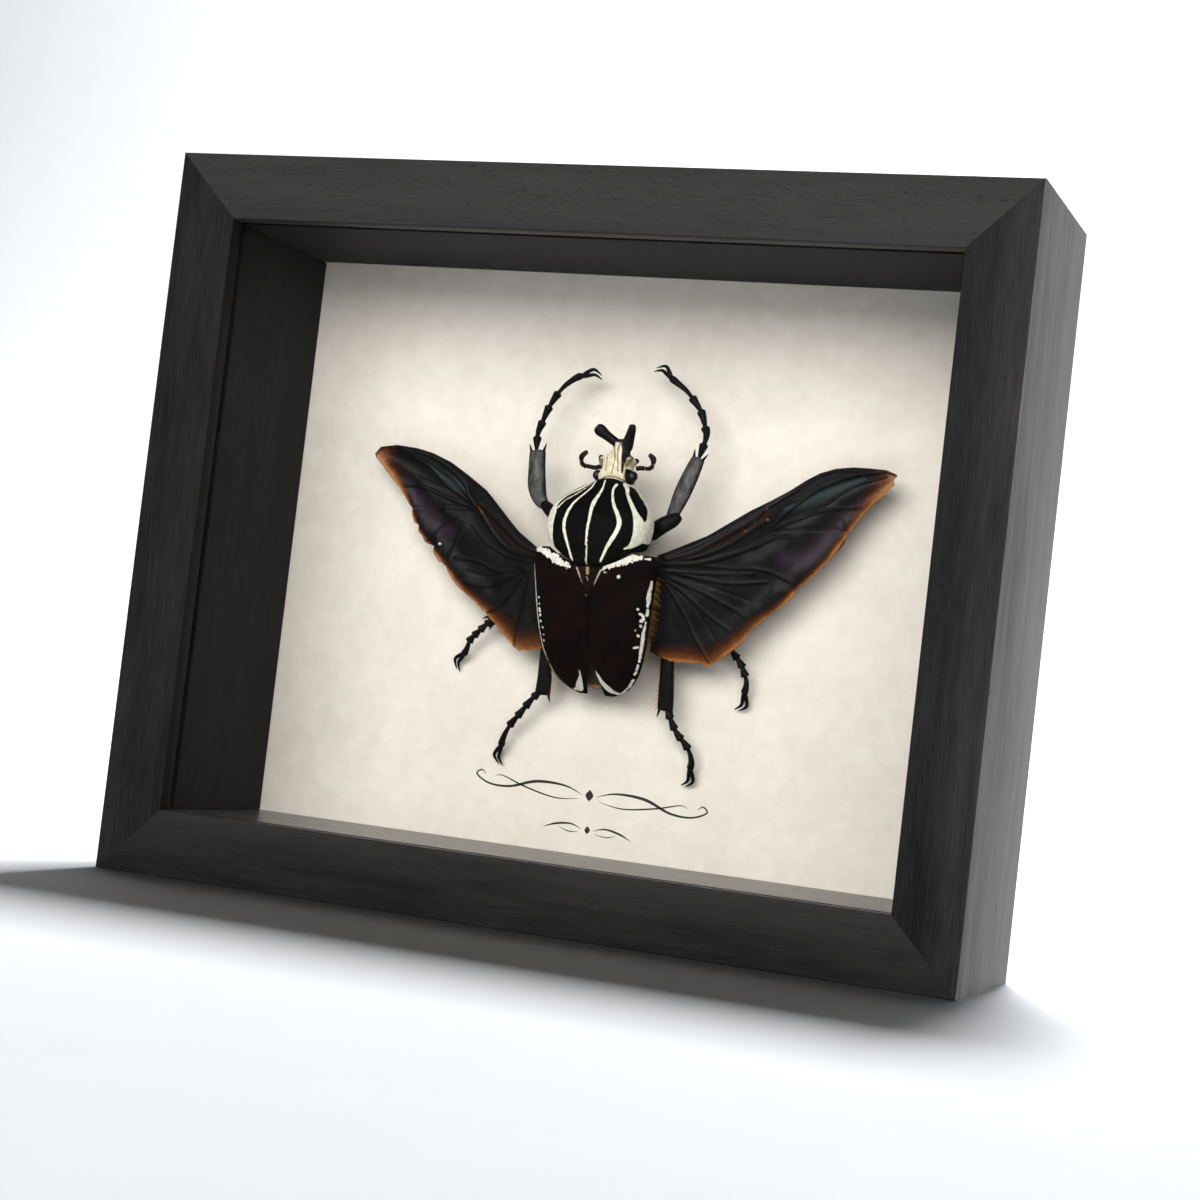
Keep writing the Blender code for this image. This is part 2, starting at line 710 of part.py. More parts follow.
ANTENNAE = {
    "antenna_left": [
        (-5.2, 146.2, 15.4, 0.5), (-7.6, 145.6, 15.0, 0.65), (-10.0, 145.9, 14.6, 0.45),
        (-12.2, 146.4, 14.5, 0.55), (-13.0, 147.6, 14.5, 0.75), (-12.8, 149.0, 14.5, 0.95),
        (-12.0, 150.4, 14.5, 0.8), (-11.4, 151.3, 14.5, 0.35)
    ],
    "antenna_right": [
        (6.5, 146.2, 15.4, 0.5), (8.2, 146.7, 15.0, 0.5), (10.2, 146.7, 14.6, 0.45),
        (11.3, 147.0, 14.5, 0.6), (11.7, 148.4, 14.5, 0.9), (11.4, 150.0, 14.5, 1.0),
        (10.8, 151.3, 14.5, 0.8), (10.3, 151.9, 14.5, 0.4)
    ],
}


def make_antennae():
    for name, stations in ANTENNAE.items():
        tube_part(name, blend_points(stations, 2), "leg")


# The hind wings. Each edge runs from the body to the tip as (u, z, h).

WING_THICK = 1.0
WING_SPAN_STEPS = 18
WING_CHORD = (0.0, 0.05, 0.22, 0.42, 0.62, 0.82, 1.0)
WING_EDGES = {
    "wing_left": (
        [
            (-16.9, 115.6, 17.8), (-23.8, 117.6, 17.3), (-32.1, 122.6, 16.5), (-38.2, 127.8, 15.5),
            (-44.4, 134.3, 14.5), (-51.7, 139.6, 13.5), (-58.9, 143.8, 12.5), (-66.7, 146.8, 11.5),
            (-75.0, 148.3, 10.5), (-82.4, 148.2, 9.8), (-88.6, 146.4, 9.0)
        ],
        [
            (-17.3, 86.6, 11.8), (-22.5, 84.8, 12.0), (-29.1, 84.4, 12.0), (-33.4, 88.5, 11.8),
            (-43.2, 96.6, 11.5), (-50.1, 101.1, 11.3), (-55.9, 106.3, 11.0), (-59.1, 110.6, 10.8),
            (-63.5, 114.3, 10.6), (-68.7, 119.6, 10.3), (-71.9, 123.4, 10.0), (-73.0, 126.8, 10.0),
            (-77.0, 132.3, 9.8), (-81.8, 137.8, 9.5), (-87.5, 142.7, 9.0)
        ],
    ),
    "wing_right": (
        [
            (16.9, 116.0, 17.8), (19.2, 118.8, 17.5), (28.6, 123.6, 16.5), (37.6, 130.3, 15.5),
            (46.7, 136.4, 14.5), (53.3, 140.9, 13.5), (59.1, 145.3, 12.5), (65.0, 149.4, 11.5),
            (73.7, 152.1, 10.5), (81.9, 152.8, 9.8), (90.0, 151.6, 9.0)
        ],
        [
            (17.3, 88.6, 11.8), (24.5, 87.9, 12.0), (32.2, 86.7, 12.0), (37.7, 86.3, 12.0),
            (43.8, 91.5, 11.7), (50.8, 99.6, 11.3), (56.7, 105.4, 11.0), (62.0, 111.0, 10.8),
            (63.8, 115.0, 10.6), (69.5, 119.4, 10.5), (73.4, 125.6, 10.3), (76.6, 131.6, 10.0),
            (81.6, 138.4, 9.8), (84.9, 143.2, 9.5), (89.3, 149.4, 9.0)
        ],
    ),
}
PLEATS = 2.5
PLEAT_RISE = 0.5


def wing_rows(lead, trail):
    """Rows of points along the wing, from its leading edge back to its trailing edge."""
    rows = []
    for chord in WING_CHORD:
        row = []
        for step in range(WING_SPAN_STEPS + 1):
            share = step / WING_SPAN_STEPS
            front = Vector(read_along(lead, share))
            back = Vector(read_along(trail, share))
            u, z, h = front.lerp(back, chord)
            fold = math.sin(chord * math.pi * 2 * PLEATS) * math.sin(share * math.pi)
            row.append(at(u, z, h + PLEAT_RISE * fold))
        rows.append(row)
    return rows


def make_wings():
    wings = {}
    for name, (lead, trail) in WING_EDGES.items():
        rows = wing_rows(lead, trail)
        wings[name] = sheet_part(name, rows, WING_THICK, "wing_membrane", edge_rows=2)
    return wings


# The legs. Thigh and shin stations are (u, z, h, half width, half height), foot points (u, z, h).

LEGS = {
    "front_leg_left": {
        "thigh": [(-13.0, 125.5, 14.0, 2.4, 2.0), (-18.2, 128.6, 15.8, 2.3, 2.0),
                  (-22.6, 131.6, 14.8, 1.9, 1.8), (-24.2, 133.2, 14.2, 1.2, 1.2)],
        "shin": [(-22.9, 131.6, 14.2, 1.3, 1.0), (-25.6, 134.0, 14.0, 2.2, 1.3),
                 (-27.7, 138.5, 13.2, 2.9, 1.4), (-28.7, 144.5, 12.6, 2.7, 1.4),
                 (-29.4, 150.4, 12.0, 2.6, 1.2)],
        "foot": [(-29.9, 149.6, 11.9), (-30.5, 155.5, 11.0), (-29.5, 159.2, 11.0), (-27.9, 164.5, 10.5),
                 (-25.5, 169.4, 10.0), (-22.7, 172.8, 10.0), (-19.2, 175.4, 9.5), (-17.5, 175.8, 9.0)],
        "curl": -1,
    },
    "front_leg_right": {
        "thigh": [(13.0, 125.5, 14.0, 2.6, 2.0), (17.6, 128.6, 15.8, 2.6, 2.1),
                  (21.0, 131.0, 14.8, 2.3, 1.9), (23.0, 132.6, 14.2, 1.2, 1.2)],
        "shin": [(19.4, 130.6, 14.2, 1.4, 1.1), (20.8, 134.2, 14.0, 2.0, 1.3),
                 (22.6, 140.2, 13.4, 2.6, 1.5), (24.4, 146.0, 12.8, 2.5, 1.5),
                 (26.2, 151.8, 12.2, 2.0, 1.2)],
        "foot": [(26.0, 151.0, 12.0), (27.4, 158.5, 11.0), (26.8, 161.2, 11.0), (24.8, 166.1, 10.5),
                 (21.9, 169.7, 10.0), (18.6, 173.1, 10.0), (14.8, 175.6, 9.5), (12.0, 177.4, 9.0)],
        "curl": 1,
    },
    "middle_leg_left": {
        "thigh": [(-12.0, 106.0, 7.0, 2.4, 2.2), (-20.0, 105.0, 8.0, 2.4, 2.2),
                  (-29.0, 103.0, 8.6, 2.0, 1.9), (-31.0, 102.4, 8.6, 1.3, 1.3)],
        "shin": [(-29.4, 103.2, 8.4, 1.3, 1.3), (-33.4, 100.0, 8.0, 1.8, 1.5),
                 (-38.0, 96.2, 7.0, 1.9, 1.4), (-41.8, 93.2, 6.0, 1.9, 1.2)],
        "foot": [(-40.8, 94.0, 6.2), (-44.8, 90.0, 6.0), (-48.5, 86.3, 5.0), (-49.7, 83.4, 4.0),
                 (-51.2, 81.2, 3.0)],
        "curl": 1,
    },
    "middle_leg_right": {
        "thigh": [(12.0, 106.0, 7.0, 2.4, 2.2), (20.0, 105.0, 8.0, 2.4, 2.2),
                  (28.0, 103.0, 8.6, 2.0, 1.9), (30.0, 102.2, 8.6, 1.3, 1.3)],
        "shin": [(28.4, 103.0, 8.4, 1.3, 1.3), (32.6, 99.8, 8.0, 1.8, 1.5),
                 (37.2, 96.2, 7.0, 1.9, 1.4), (41.0, 93.2, 6.0, 1.9, 1.2)],
        "foot": [(40.2, 94.0, 6.2), (45.0, 89.0, 6.0), (46.6, 86.0, 5.0), (47.8, 82.2, 4.0),
                 (47.0, 78.6, 3.0)],
        "curl": -1,
    },
    "hind_leg_left": {
        "thigh": [(-10.0, 96.0, 6.0, 2.6, 2.2), (-15.5, 98.4, 7.4, 2.6, 2.2),
                  (-19.6, 99.4, 8.2, 2.1, 1.9), (-21.4, 99.0, 8.4, 1.3, 1.3)],
        "shin": [(-20.2, 100.0, 8.4, 1.4, 1.3), (-20.0, 92.0, 8.6, 1.8, 1.4),
                 (-19.5, 83.0, 8.5, 1.9, 1.4), (-19.2, 76.0, 8.1, 2.3, 1.3),
                 (-19.4, 71.0, 7.8, 2.5, 1.2)],
        "foot": [(-19.6, 72.6, 7.8), (-22.9, 69.8, 7.0), (-27.2, 64.4, 6.0), (-30.9, 59.7, 5.0),
                 (-33.1, 55.2, 4.0), (-33.8, 52.4, 3.0)],
        "curl": 1,
    },
    "hind_leg_right": {
        "thigh": [(10.0, 96.0, 6.0, 2.6, 2.2), (15.5, 99.0, 7.4, 2.6, 2.2),
                  (20.0, 100.6, 8.2, 2.1, 1.9), (22.0, 100.4, 8.4, 1.3, 1.3)],
        "shin": [(20.8, 101.4, 8.4, 1.4, 1.3), (21.6, 93.0, 8.6, 1.9, 1.4),
                 (22.4, 84.0, 8.5, 2.1, 1.5), (22.9, 76.0, 8.2, 2.4, 1.4),
                 (23.2, 70.4, 7.8, 2.4, 1.2)],
        "foot": [(23.4, 71.6, 7.8), (24.9, 68.2, 7.0), (27.0, 64.2, 6.0), (30.9, 59.8, 5.0),
                 (32.5, 55.8, 4.0), (31.9, 52.6, 3.0)],
        "curl": -1,
    },
}
FOOT_JOINTS = 5
# Along one joint of a foot: share of its length, and radius.
FOOT_BEAD = [(0.0, 0.5), (0.45, 0.72), (0.86, 0.98)]
SPUR_LONG = 2.4
CLAW_LONG = 3.4


def foot_stations(points):
    """Five beads, each flaring towards the next, as (u, z, h, radius)."""
    line = blend_points(points, 5)
    stations = []
    for joint in range(FOOT_JOINTS):
        for share, radius in FOOT_BEAD:
            u, z, h = read_along(line, (joint + share) / FOOT_JOINTS)
            stations.append((u, z, h, radius))
    stations.append((*line[-1], 0.5))
    return stations


def claw_stations(points, curl, side):
    """One of the two hooked claws at the end of a foot."""
    tip = Vector(points[-1])
    ahead = (tip - Vector(points[-2])).normalized()
    across = Vector((-ahead.y, ahead.x, 0.0)).normalized()
    first = tip + ahead * (0.55 * CLAW_LONG) + across * (1.1 * side)
    bend = tip + ahead * (0.95 * CLAW_LONG) + across * (0.9 * side + 0.9 * curl)
    point = tip + ahead * CLAW_LONG + across * (0.6 * side + 2.3 * curl)
    radii = (0.5, 0.42, 0.33, 0.12)
    return [(*spot, radius) for spot, radius in zip((tip - ahead * 0.6, first, bend, point), radii)]


def spur_stations(shin, side):
    """A thorn at the far end of a shin."""
    end = Vector(shin[-1][:3])
    ahead = (end - Vector(shin[-2][:3])).normalized()
    across = Vector((-ahead.y, ahead.x, 0.0)).normalized()
    half = shin[-1][3]
    root = end - ahead * 1.2 + across * (side * (half - 0.8))
    point = end + ahead * (SPUR_LONG - 0.8) + across * (side * (half + 0.6))
    return [(*root, 0.75), (*point, 0.12)]


def make_leg(name, leg, socket):
    """Thigh, shin, foot and claws as one piece, cut clear of the body that it grows from."""
    part = add_part(name, limb_mesh(name, leg["thigh"], spans=1), "leg")
    shin_name = name + "_shin"
    boolean(part, add_helper(shin_name, limb_mesh(shin_name, leg["shin"])), "UNION")
    for number, side in enumerate((-1, 1), 1):
        boolean(part, tube_helper(f"{name}_spur_{number}", spur_stations(leg["shin"], side)), "UNION")
        claw = claw_stations(leg["foot"], leg["curl"], side)
        boolean(part, tube_helper(f"{name}_claw_{number}", claw), "UNION")
    boolean(part, tube_helper(name + "_foot", foot_stations(leg["foot"])), "UNION")
    boolean(part, socket, "DIFFERENCE")


def make_legs():
    rings = [body_ring(ring, grow=GAP, sides=PRONOTUM_SIDES) for ring in PRONOTUM_RINGS]
    front_socket = add_helper("front_socket", rings_mesh("front_socket", rings))
    rings = [body_ring(ring, grow=GAP) for ring in TRUNK_RINGS]
    rear_socket = add_helper("rear_socket", rings_mesh("rear_socket", rings))
    for name, leg in LEGS.items():
        make_leg(name, leg, front_socket if name.startswith("front") else rear_socket)


# The pins.

PIN_RADIUS = 0.3
PIN_HOLE = 0.65
PIN_HEAD = 0.75
PIN_DEEP = 1.8
BODY_PIN = (10.5, 110.4, 30.2)
WING_PIN = (-60.4, 116.7, 11.9)


def make_pin(name, spot, pierced):
    """A headed steel pin down into the board, and its hole in all that it goes through."""
    u, z, h = spot
    shank = round_bar_mesh(name, at(u, z, -PIN_DEEP), at(u, z, h), PIN_RADIUS, sides=8)
    pin = add_part(name, shank, "steel")
    head = add_helper(name + "_head", ball_mesh(name + "_head", at(u, z, h), PIN_HEAD))
    boolean(pin, head, "UNION")
    bottom = at(u, z, -PIN_DEEP - GAP)
    hole_mesh = round_bar_mesh(name + "_hole", bottom, at(u, z, h + 3), PIN_HOLE, sides=8)
    hole = add_helper(name + "_hole", hole_mesh)
    for part in pierced:
        boolean(part, hole, "DIFFERENCE")


def build():
    bars = make_frame()
    make_glass()
    make_spacers()
    board = make_board()
    make_tabs(bars)
    make_hanger(bars["top"])
    make_bumpers()
    make_pronotum()
    elytra = make_elytra()
    make_scutellum()
    trunk = make_trunk()
    make_head()
    make_antennae()
    wings = make_wings()
    make_legs()
    make_pin("body_pin", BODY_PIN, [elytra[1], trunk, board])
    make_pin("wing_pin", WING_PIN, [wings["wing_left"], board])


build()
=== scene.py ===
# The looks of a goliath beetle, pinned with spread wings in a black shadow box frame.
# Lengths are in millimetres unless a comment says otherwise, and MM makes them metres.

import math

import bmesh
import bpy
import numpy as np
from mathutils import Matrix, Vector, noise


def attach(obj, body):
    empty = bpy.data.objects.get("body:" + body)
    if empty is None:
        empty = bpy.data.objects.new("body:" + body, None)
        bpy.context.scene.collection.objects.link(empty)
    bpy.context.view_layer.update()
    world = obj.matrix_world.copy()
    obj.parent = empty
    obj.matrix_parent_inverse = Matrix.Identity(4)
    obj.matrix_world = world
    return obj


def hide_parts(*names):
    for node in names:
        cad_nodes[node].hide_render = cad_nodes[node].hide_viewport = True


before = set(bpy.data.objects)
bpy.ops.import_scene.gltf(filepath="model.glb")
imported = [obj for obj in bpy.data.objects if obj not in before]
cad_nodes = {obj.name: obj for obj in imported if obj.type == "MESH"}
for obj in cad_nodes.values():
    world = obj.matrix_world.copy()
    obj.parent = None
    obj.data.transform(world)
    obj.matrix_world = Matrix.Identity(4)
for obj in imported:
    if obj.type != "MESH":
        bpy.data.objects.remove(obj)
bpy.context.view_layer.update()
MM = 0.001


# The paper sweep: one sheet of white studio paper, laid on the table and curved up
# behind the frame, so that no line shows where the floor ends. It isn't part of the
# object. The tools of every material are here too, as this is the first one mixed.

SWEEP_WIDE = 6.0        # metres, as are the next four
SWEEP_FRONT = -3.2
SWEEP_BACK = 1.6
SWEEP_TOP = 3.4
SWEEP_CURVE = 0.9


def tone(red, green, blue):
    """A colour by its three screen values, 0 to 255, as a shader takes it."""
    shares = [value / 255 for value in (red, green, blue)]
    return (*[s / 12.92 if s < 0.04045 else ((s + 0.055) / 1.055) ** 2.4 for s in shares], 1.0)


class Finish:
    """A material for one kind of surface: its shader, and the nodes that feed it."""

    def __init__(self, name, **values):
        self.material = bpy.data.materials.new(name)
        self.material.use_nodes = True
        self.tree = self.material.node_tree
        self.shader = self.tree.nodes["Principled BSDF"]
        self.set(**values)

    def join(self, value, socket):
        if isinstance(value, bpy.types.NodeSocket):
            self.tree.links.new(value, socket)
        else:
            socket.default_value = value

    def set(self, **values):
        """Sets or feeds the shader's own sockets, a _ standing for a blank in their names."""
        for label, value in values.items():
            self.join(value, self.shader.inputs[label.replace("_", " ")])

    def node(self, kind, sockets, **settings):
        made = self.tree.nodes.new("ShaderNode" + kind)
        for label, value in settings.items():
            setattr(made, label, value)
        for label, value in sockets.items():
            self.join(value, made.inputs[label])
        return made

    def place(self, stretch=(1, 1, 1), turn=(0, 0, 0)):
        """The point on the piece, for a pattern that is stretched or turned."""
        here = self.node("TexCoord", {})
        angles = [math.radians(angle) for angle in turn]
        shares = [1 / share for share in stretch]
        sockets = {"Vector": here.outputs["Object"], "Rotation": angles, "Scale": shares}
        return self.node("Mapping", sockets).outputs["Vector"]

    def cloud(self, size, stretch=(1, 1, 1), detail=4.0, rough=0.55, bend=0.0, turn=(0, 0, 0)):
        """Soft blotches about size across, longer where stretch is more than 1."""
        sockets = {
            "Vector": self.place(stretch, turn), "Scale": 1 / (size * MM), "Detail": detail,
            "Roughness": rough, "Distortion": bend,
        }
        return self.node("TexNoise", sockets).outputs["Fac"]

    def cells(self, size, stretch=(1, 1, 1), feature="F1"):
        """How far a point lies from the middle of the nearest of many cells."""
        sockets = {"Vector": self.place(stretch), "Scale": 1 / (size * MM)}
        return self.node("TexVoronoi", sockets, feature=feature).outputs["Distance"]

    def measure(self, name):
        """A value kept on the mesh, by its name."""
        return self.node("Attribute", {}, attribute_name=name).outputs["Fac"]

    def calc(self, operation, *values):
        """The result of one step of arithmetic."""
        return self.node("Math", dict(enumerate(values)), operation=operation).outputs["Value"]

    def step(self, value, low, high):
        """0 below low and 1 above high, with a soft step between."""
        sockets = {"Value": value, "From Min": low, "From Max": high}
        made = self.node("MapRange", sockets, interpolation_type="SMOOTHSTEP")
        return made.outputs["Result"]

    def range(self, value, low, high):
        """The value's 0 to 1 made low to high."""
        return self.node("MapRange", {"Value": value, "To Min": low, "To Max": high}).outputs["Result"]

    def blend(self, share, first, second):
        """The first colour where the share is 0, the second where it is 1."""
        sockets = {0: share, 6: first, 7: second}
        return self.node("Mix", sockets, data_type="RGBA").outputs[2]

    def relief(self, height, depth):
        """Raises the surface by depth where the height is 1."""
        sockets = {"Height": height, "Distance": depth * MM, "Strength": 1.0}
        if self.shader.inputs["Normal"].is_linked:
            sockets["Normal"] = self.shader.inputs["Normal"].links[0].from_socket
        self.set(Normal=self.node("Bump", sockets).outputs["Normal"])


def dress(piece, finish):
    piece.data.materials.clear()
    piece.data.materials.append(finish.material)


def let_go():
    """Leaves edit mode with nothing selected, so that the next operator acts on one piece."""
    if bpy.context.object and bpy.context.object.mode == "EDIT":
        bpy.ops.object.mode_set(mode="OBJECT")
    bpy.ops.object.select_all(action="DESELECT")


def pick(piece, kind, chosen):
    """Selects, in edit mode, the faces, edges or vertices that chosen says yes to."""
    bpy.ops.mesh.select_mode(type=kind)
    bpy.ops.mesh.select_all(action="DESELECT")
    shape = bmesh.from_edit_mesh(piece.data)
    group = {"FACE": shape.faces, "EDGE": shape.edges, "VERT": shape.verts}[kind]
    group.ensure_lookup_table()
    for part in group:
        part.select_set(chosen(part))
    bmesh.update_edit_mesh(piece.data)


def settle(piece):
    """Puts a finished piece's place into its mesh, so that its object is at the origin."""
    let_go()
    piece.select_set(True)
    bpy.context.view_layer.objects.active = piece
    bpy.ops.object.transform_apply(location=True, rotation=True, scale=True)
    let_go()


let_go()
middle = (SWEEP_FRONT + SWEEP_BACK) / 2
bpy.ops.mesh.primitive_plane_add(size=1, location=(0, middle, 0))
sweep = bpy.context.object
sweep.name = "paper_sweep"
sweep.scale = (SWEEP_WIDE, SWEEP_BACK - SWEEP_FRONT, 1)
settle(sweep)
bpy.context.view_layer.objects.active = sweep
bpy.ops.object.mode_set(mode="EDIT")
pick(sweep, "EDGE", lambda edge: min(v.co.y for v in edge.verts) > SWEEP_BACK - 0.01)
bpy.ops.mesh.extrude_edges_move(TRANSFORM_OT_translate={"value": (0, 0, SWEEP_TOP)})
pick(sweep, "EDGE", lambda edge: all(abs(v.co.z) < 0.01 and v.co.y > SWEEP_BACK - 0.01
                                     for v in edge.verts))
bpy.ops.mesh.bevel(offset=SWEEP_CURVE, segments=24)
let_go()
sweep.data.shade_smooth()
paper = Finish("sweep_paper", Roughness=0.9, Specular_IOR_Level=0.1)
paper.set(Base_Color=paper.blend(paper.cloud(40), tone(227, 228, 230), tone(232, 233, 235)))
dress(sweep, paper)


# The lamps and the camera. A wide soft lamp stands in front to the left, a weaker one to
# the right, and a narrow one grazes the frame's right side. All three are screened from
# the paper, which has two of its own: one hangs behind and above and lays the frame's
# shadow before it, and one lights the left of the wall. The camera stands low, rolled a
# little.

CAMERA_AT = (0.2739, -0.6956, 0.0704)       # metres
CAMERA_TURN = (92.50, -6.67, 20.71)
CAMERA_LENS = 71.3
# Each lamp: where it stands and where it aims, its width and height, all in metres, its
# power in watts and its colour.
LAMPS = {
    "front_lamp": ((-0.28, -1.55, 0.82), (0.0, 0.0, 0.12), 1.60, 0.90, 27.5, (1.0, 0.985, 0.96)),
    "fill_lamp": ((0.80, -1.40, 0.50), (0.0, 0.0, 0.12), 0.80, 0.60, 6.5, (1.0, 0.99, 0.97)),
    "side_lamp": ((1.50, 0.0, 0.16), (0.14, 0.0, 0.10), 0.07, 0.50, 150.0, (1.0, 0.99, 0.97)),
    "back_lamp": ((-0.06, 0.86, 1.90), (0.0, 0.35, 0.0), 0.36, 0.60, 68.0, (0.97, 0.985, 1.0)),
    "paper_lamp": ((-1.05, 0.75, 1.65), (-1.20, 1.60, 0.85), 0.90, 0.40, 9.0, (0.97, 0.985, 1.0)),
}
ROOM_LIGHT = 0.03


def add_lamp(name, spot, aim, wide, tall, power, colour):
    lamp = bpy.data.lights.new(name, "AREA")
    lamp.shape = "RECTANGLE"
    lamp.size = wide
    lamp.size_y = tall
    lamp.energy = power
    lamp.color = colour
    stand = bpy.data.objects.new(name, lamp)
    stand.location = spot
    stand.rotation_euler = (Vector(aim) - Vector(spot)).to_track_quat("-Z", "Y").to_euler()
    bpy.context.scene.collection.objects.link(stand)
    return stand


lamps = {name: add_lamp(name, *values) for name, values in LAMPS.items()}
screened = bpy.data.collections.new("screened_paper")
screened.objects.link(sweep)
screened.collection_objects[0].light_linking.link_state = "EXCLUDE"
for name in ("front_lamp", "fill_lamp", "side_lamp"):
    lamps[name].light_linking.receiver_collection = screened

room = bpy.data.worlds.new("room")
room.use_nodes = True
room.node_tree.nodes["Background"].inputs["Color"].default_value = (0.95, 0.97, 1.0, 1.0)
room.node_tree.nodes["Background"].inputs["Strength"].default_value = ROOM_LIGHT
bpy.context.scene.world = room

bpy.ops.object.camera_add(location=CAMERA_AT)
camera = bpy.context.object
camera.rotation_euler = [math.radians(angle) for angle in CAMERA_TURN]
camera.data.lens = CAMERA_LENS
camera.data.sensor_width = 36.0
camera.data.clip_start = 0.01
bpy.context.scene.camera = camera
bpy.context.scene.view_settings.view_transform = "Standard"


# The four bars of the frame: solid wood with a rebate behind the front lip, stained
# black, sanded and lightly waxed, and mitred and glued at the corners. The grain runs
# along each bar, and the arrises are broken so that they catch the light.

WIDE = 280.0
TALL = 232.0
DEEP = 72.0
FRONT = -37.0
FACE = 21.0
LIP = 6.0
WALL = 13.0
ARRIS = 0.5
MITRE_GAP = 0.03


def stained_wood(name, along, shine, dark=1.0, satin=0.42):
    """Black stained wood, its grain running along X, Y or Z."""
    def stretched(long):
        return [long if axis == along else 1.0 for axis in "XYZ"]
    wood = Finish(name, Specular_IOR_Level=shine, Sheen_Weight=0.04, Sheen_Roughness=0.3)
    fibre = wood.cloud(0.34, stretched(38), detail=6, rough=0.65)
    figure = wood.cloud(5.5, stretched(9), detail=3, bend=0.6)
    patch = wood.cloud(38, stretched(2.5), detail=2)
    pores = wood.step(wood.cloud(0.22, stretched(16), detail=2), 0.62, 0.74)
    body = wood.calc("MULTIPLY_ADD", figure, 0.45, wood.calc("MULTIPLY", fibre, 0.6))
    shade = wood.calc("MULTIPLY_ADD", patch, 0.35, body)
    low = [value * dark for value in tone(18, 18, 19)[:3]] + [1.0]
    high = [value * dark for value in tone(44, 43, 43)[:3]] + [1.0]
    colour = wood.blend(wood.step(shade, 0.42, 0.98), low, high)
    black = [value * dark for value in tone(12, 12, 13)[:3]] + [1.0]
    wood.set(Base_Color=wood.blend(pores, colour, black))
    wood.set(Roughness=wood.range(shade, satin - 0.06, satin + 0.14))
    wood.relief(fibre, 0.05)
    wood.relief(wood.calc("MULTIPLY", pores, -1.0), 0.03)
    return wood


def cut_bar(name, length, across, turn, finish):
    """One bar, cut along the bottom edge of the frame and swung round its middle."""
    low = (TALL - across) / 2
    reach = length / 2
    bpy.ops.mesh.primitive_plane_add(
        size=1, location=(0, FRONT * MM, (low + FACE / 2) * MM), rotation=(math.radians(90), 0, 0)
    )
    bar = bpy.context.object
    bar.name = name
    bar.scale = (length * MM, FACE * MM, 1)
    settle(bar)
    bpy.context.view_layer.objects.active = bar
    bpy.ops.object.mode_set(mode="EDIT")
    bpy.ops.mesh.select_all(action="SELECT")
    bpy.ops.mesh.extrude_region_move(TRANSFORM_OT_translate={"value": (0, LIP * MM, 0)})
    bpy.ops.mesh.select_all(action="SELECT")
    bpy.ops.mesh.bisect(plane_co=(0, 0, (low + WALL) * MM), plane_no=(0, 0, 1))
    rebate = (FRONT + LIP) * MM
    wall_top = (low + WALL) * MM
    pick(bar, "FACE", lambda face: face.calc_center_median().z < wall_top and all(
        abs(v.co.y - rebate) < 1e-6 for v in face.verts))
    bpy.ops.mesh.extrude_region_move(
        TRANSFORM_OT_translate={"value": (0, (DEEP - LIP) * MM, 0)})
    bpy.ops.mesh.select_all(action="SELECT")
    bpy.ops.mesh.dissolve_limited(angle_limit=math.radians(1))
    corners = [(FRONT, low), (FRONT, low + FACE), (FRONT + LIP, low + FACE), (FRONT + DEEP, low),
               (FRONT + DEEP, low + WALL)]
    pick(bar, "EDGE", lambda edge: edge.calc_length() > 0.1 and any(
        abs(edge.verts[0].co.y - y * MM) < 1e-5 and abs(edge.verts[0].co.z - z * MM) < 1e-5
        for y, z in corners))
    bpy.ops.mesh.bevel(offset=ARRIS * MM, segments=3)
    for side in (-1, 1):
        bpy.ops.mesh.select_all(action="SELECT")
        end = (side * (reach - MITRE_GAP) * MM, 0, low * MM)
        bpy.ops.mesh.bisect(plane_co=end, plane_no=(side, 0, 1), clear_outer=True, use_fill=True)
    bpy.ops.mesh.select_all(action="SELECT")
    bpy.ops.mesh.normals_make_consistent(inside=False)
    let_go()
    middle = Vector((0, 0, TALL / 2 * MM))
    swing = Matrix.Rotation(math.radians(turn), 4, "Y")
    bar.matrix_world = Matrix.Translation(middle) @ swing @ Matrix.Translation(-middle)
    settle(bar)
    bar.data.shade_smooth()
    bar.data.set_sharp_from_angle(angle=math.radians(28))
    dress(bar, finish)
    return bar


level_wood = stained_wood("black_wood_level", "X", shine=0.19)
upright_wood = stained_wood("black_wood_upright", "Z", shine=0.04)
for side, (length, across, turn, wood) in {
    "bottom": (WIDE, TALL, 0, level_wood), "left": (TALL, WIDE, 90, upright_wood),
    "top": (WIDE, TALL, 180, level_wood), "right": (TALL, WIDE, 270, upright_wood),
}.items():
    bar = cut_bar(f"bar_{side}", length, across, turn, wood)
    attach(bar, "root")
    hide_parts(f"frame_{side}")


# The lining: four thin black stained strips inside the frame. They stand on edge
# between the glass and the board and hold them apart, flush with the lip.

waxed_lining = stained_wood("black_lining_waxed", "X", dark=0.8, satin=0.2, shine=0.24)
level_lining = stained_wood("black_lining_level", "X", dark=0.8, satin=0.5, shine=0.05)
upright_lining = stained_wood("black_lining_upright", "Z", dark=0.8, satin=0.42, shine=0.05)
for side, wood in {"bottom": waxed_lining, "top": level_lining, "left": upright_lining,
                   "right": upright_lining}.items():
    dress(cad_nodes[f"spacer_{side}"], wood)


# The glass: a clear flat pane, laid in the rebate against the lip. It is clean, with a
# trace of dust, and it throws back very little light.

pane = Finish("clear_pane", Base_Color=tone(200, 212, 208), Roughness=0.04, IOR=1.45)
pane.set(Alpha=pane.range(pane.cloud(24, detail=5), 0.0008, 0.0026))
dress(cad_nodes["glass_pane"], pane)


# The board: cream art paper mounted on card, wedged behind the lining. The paper is
# matt and a little cloudy, with short fibres in it, and the pins go into the card.

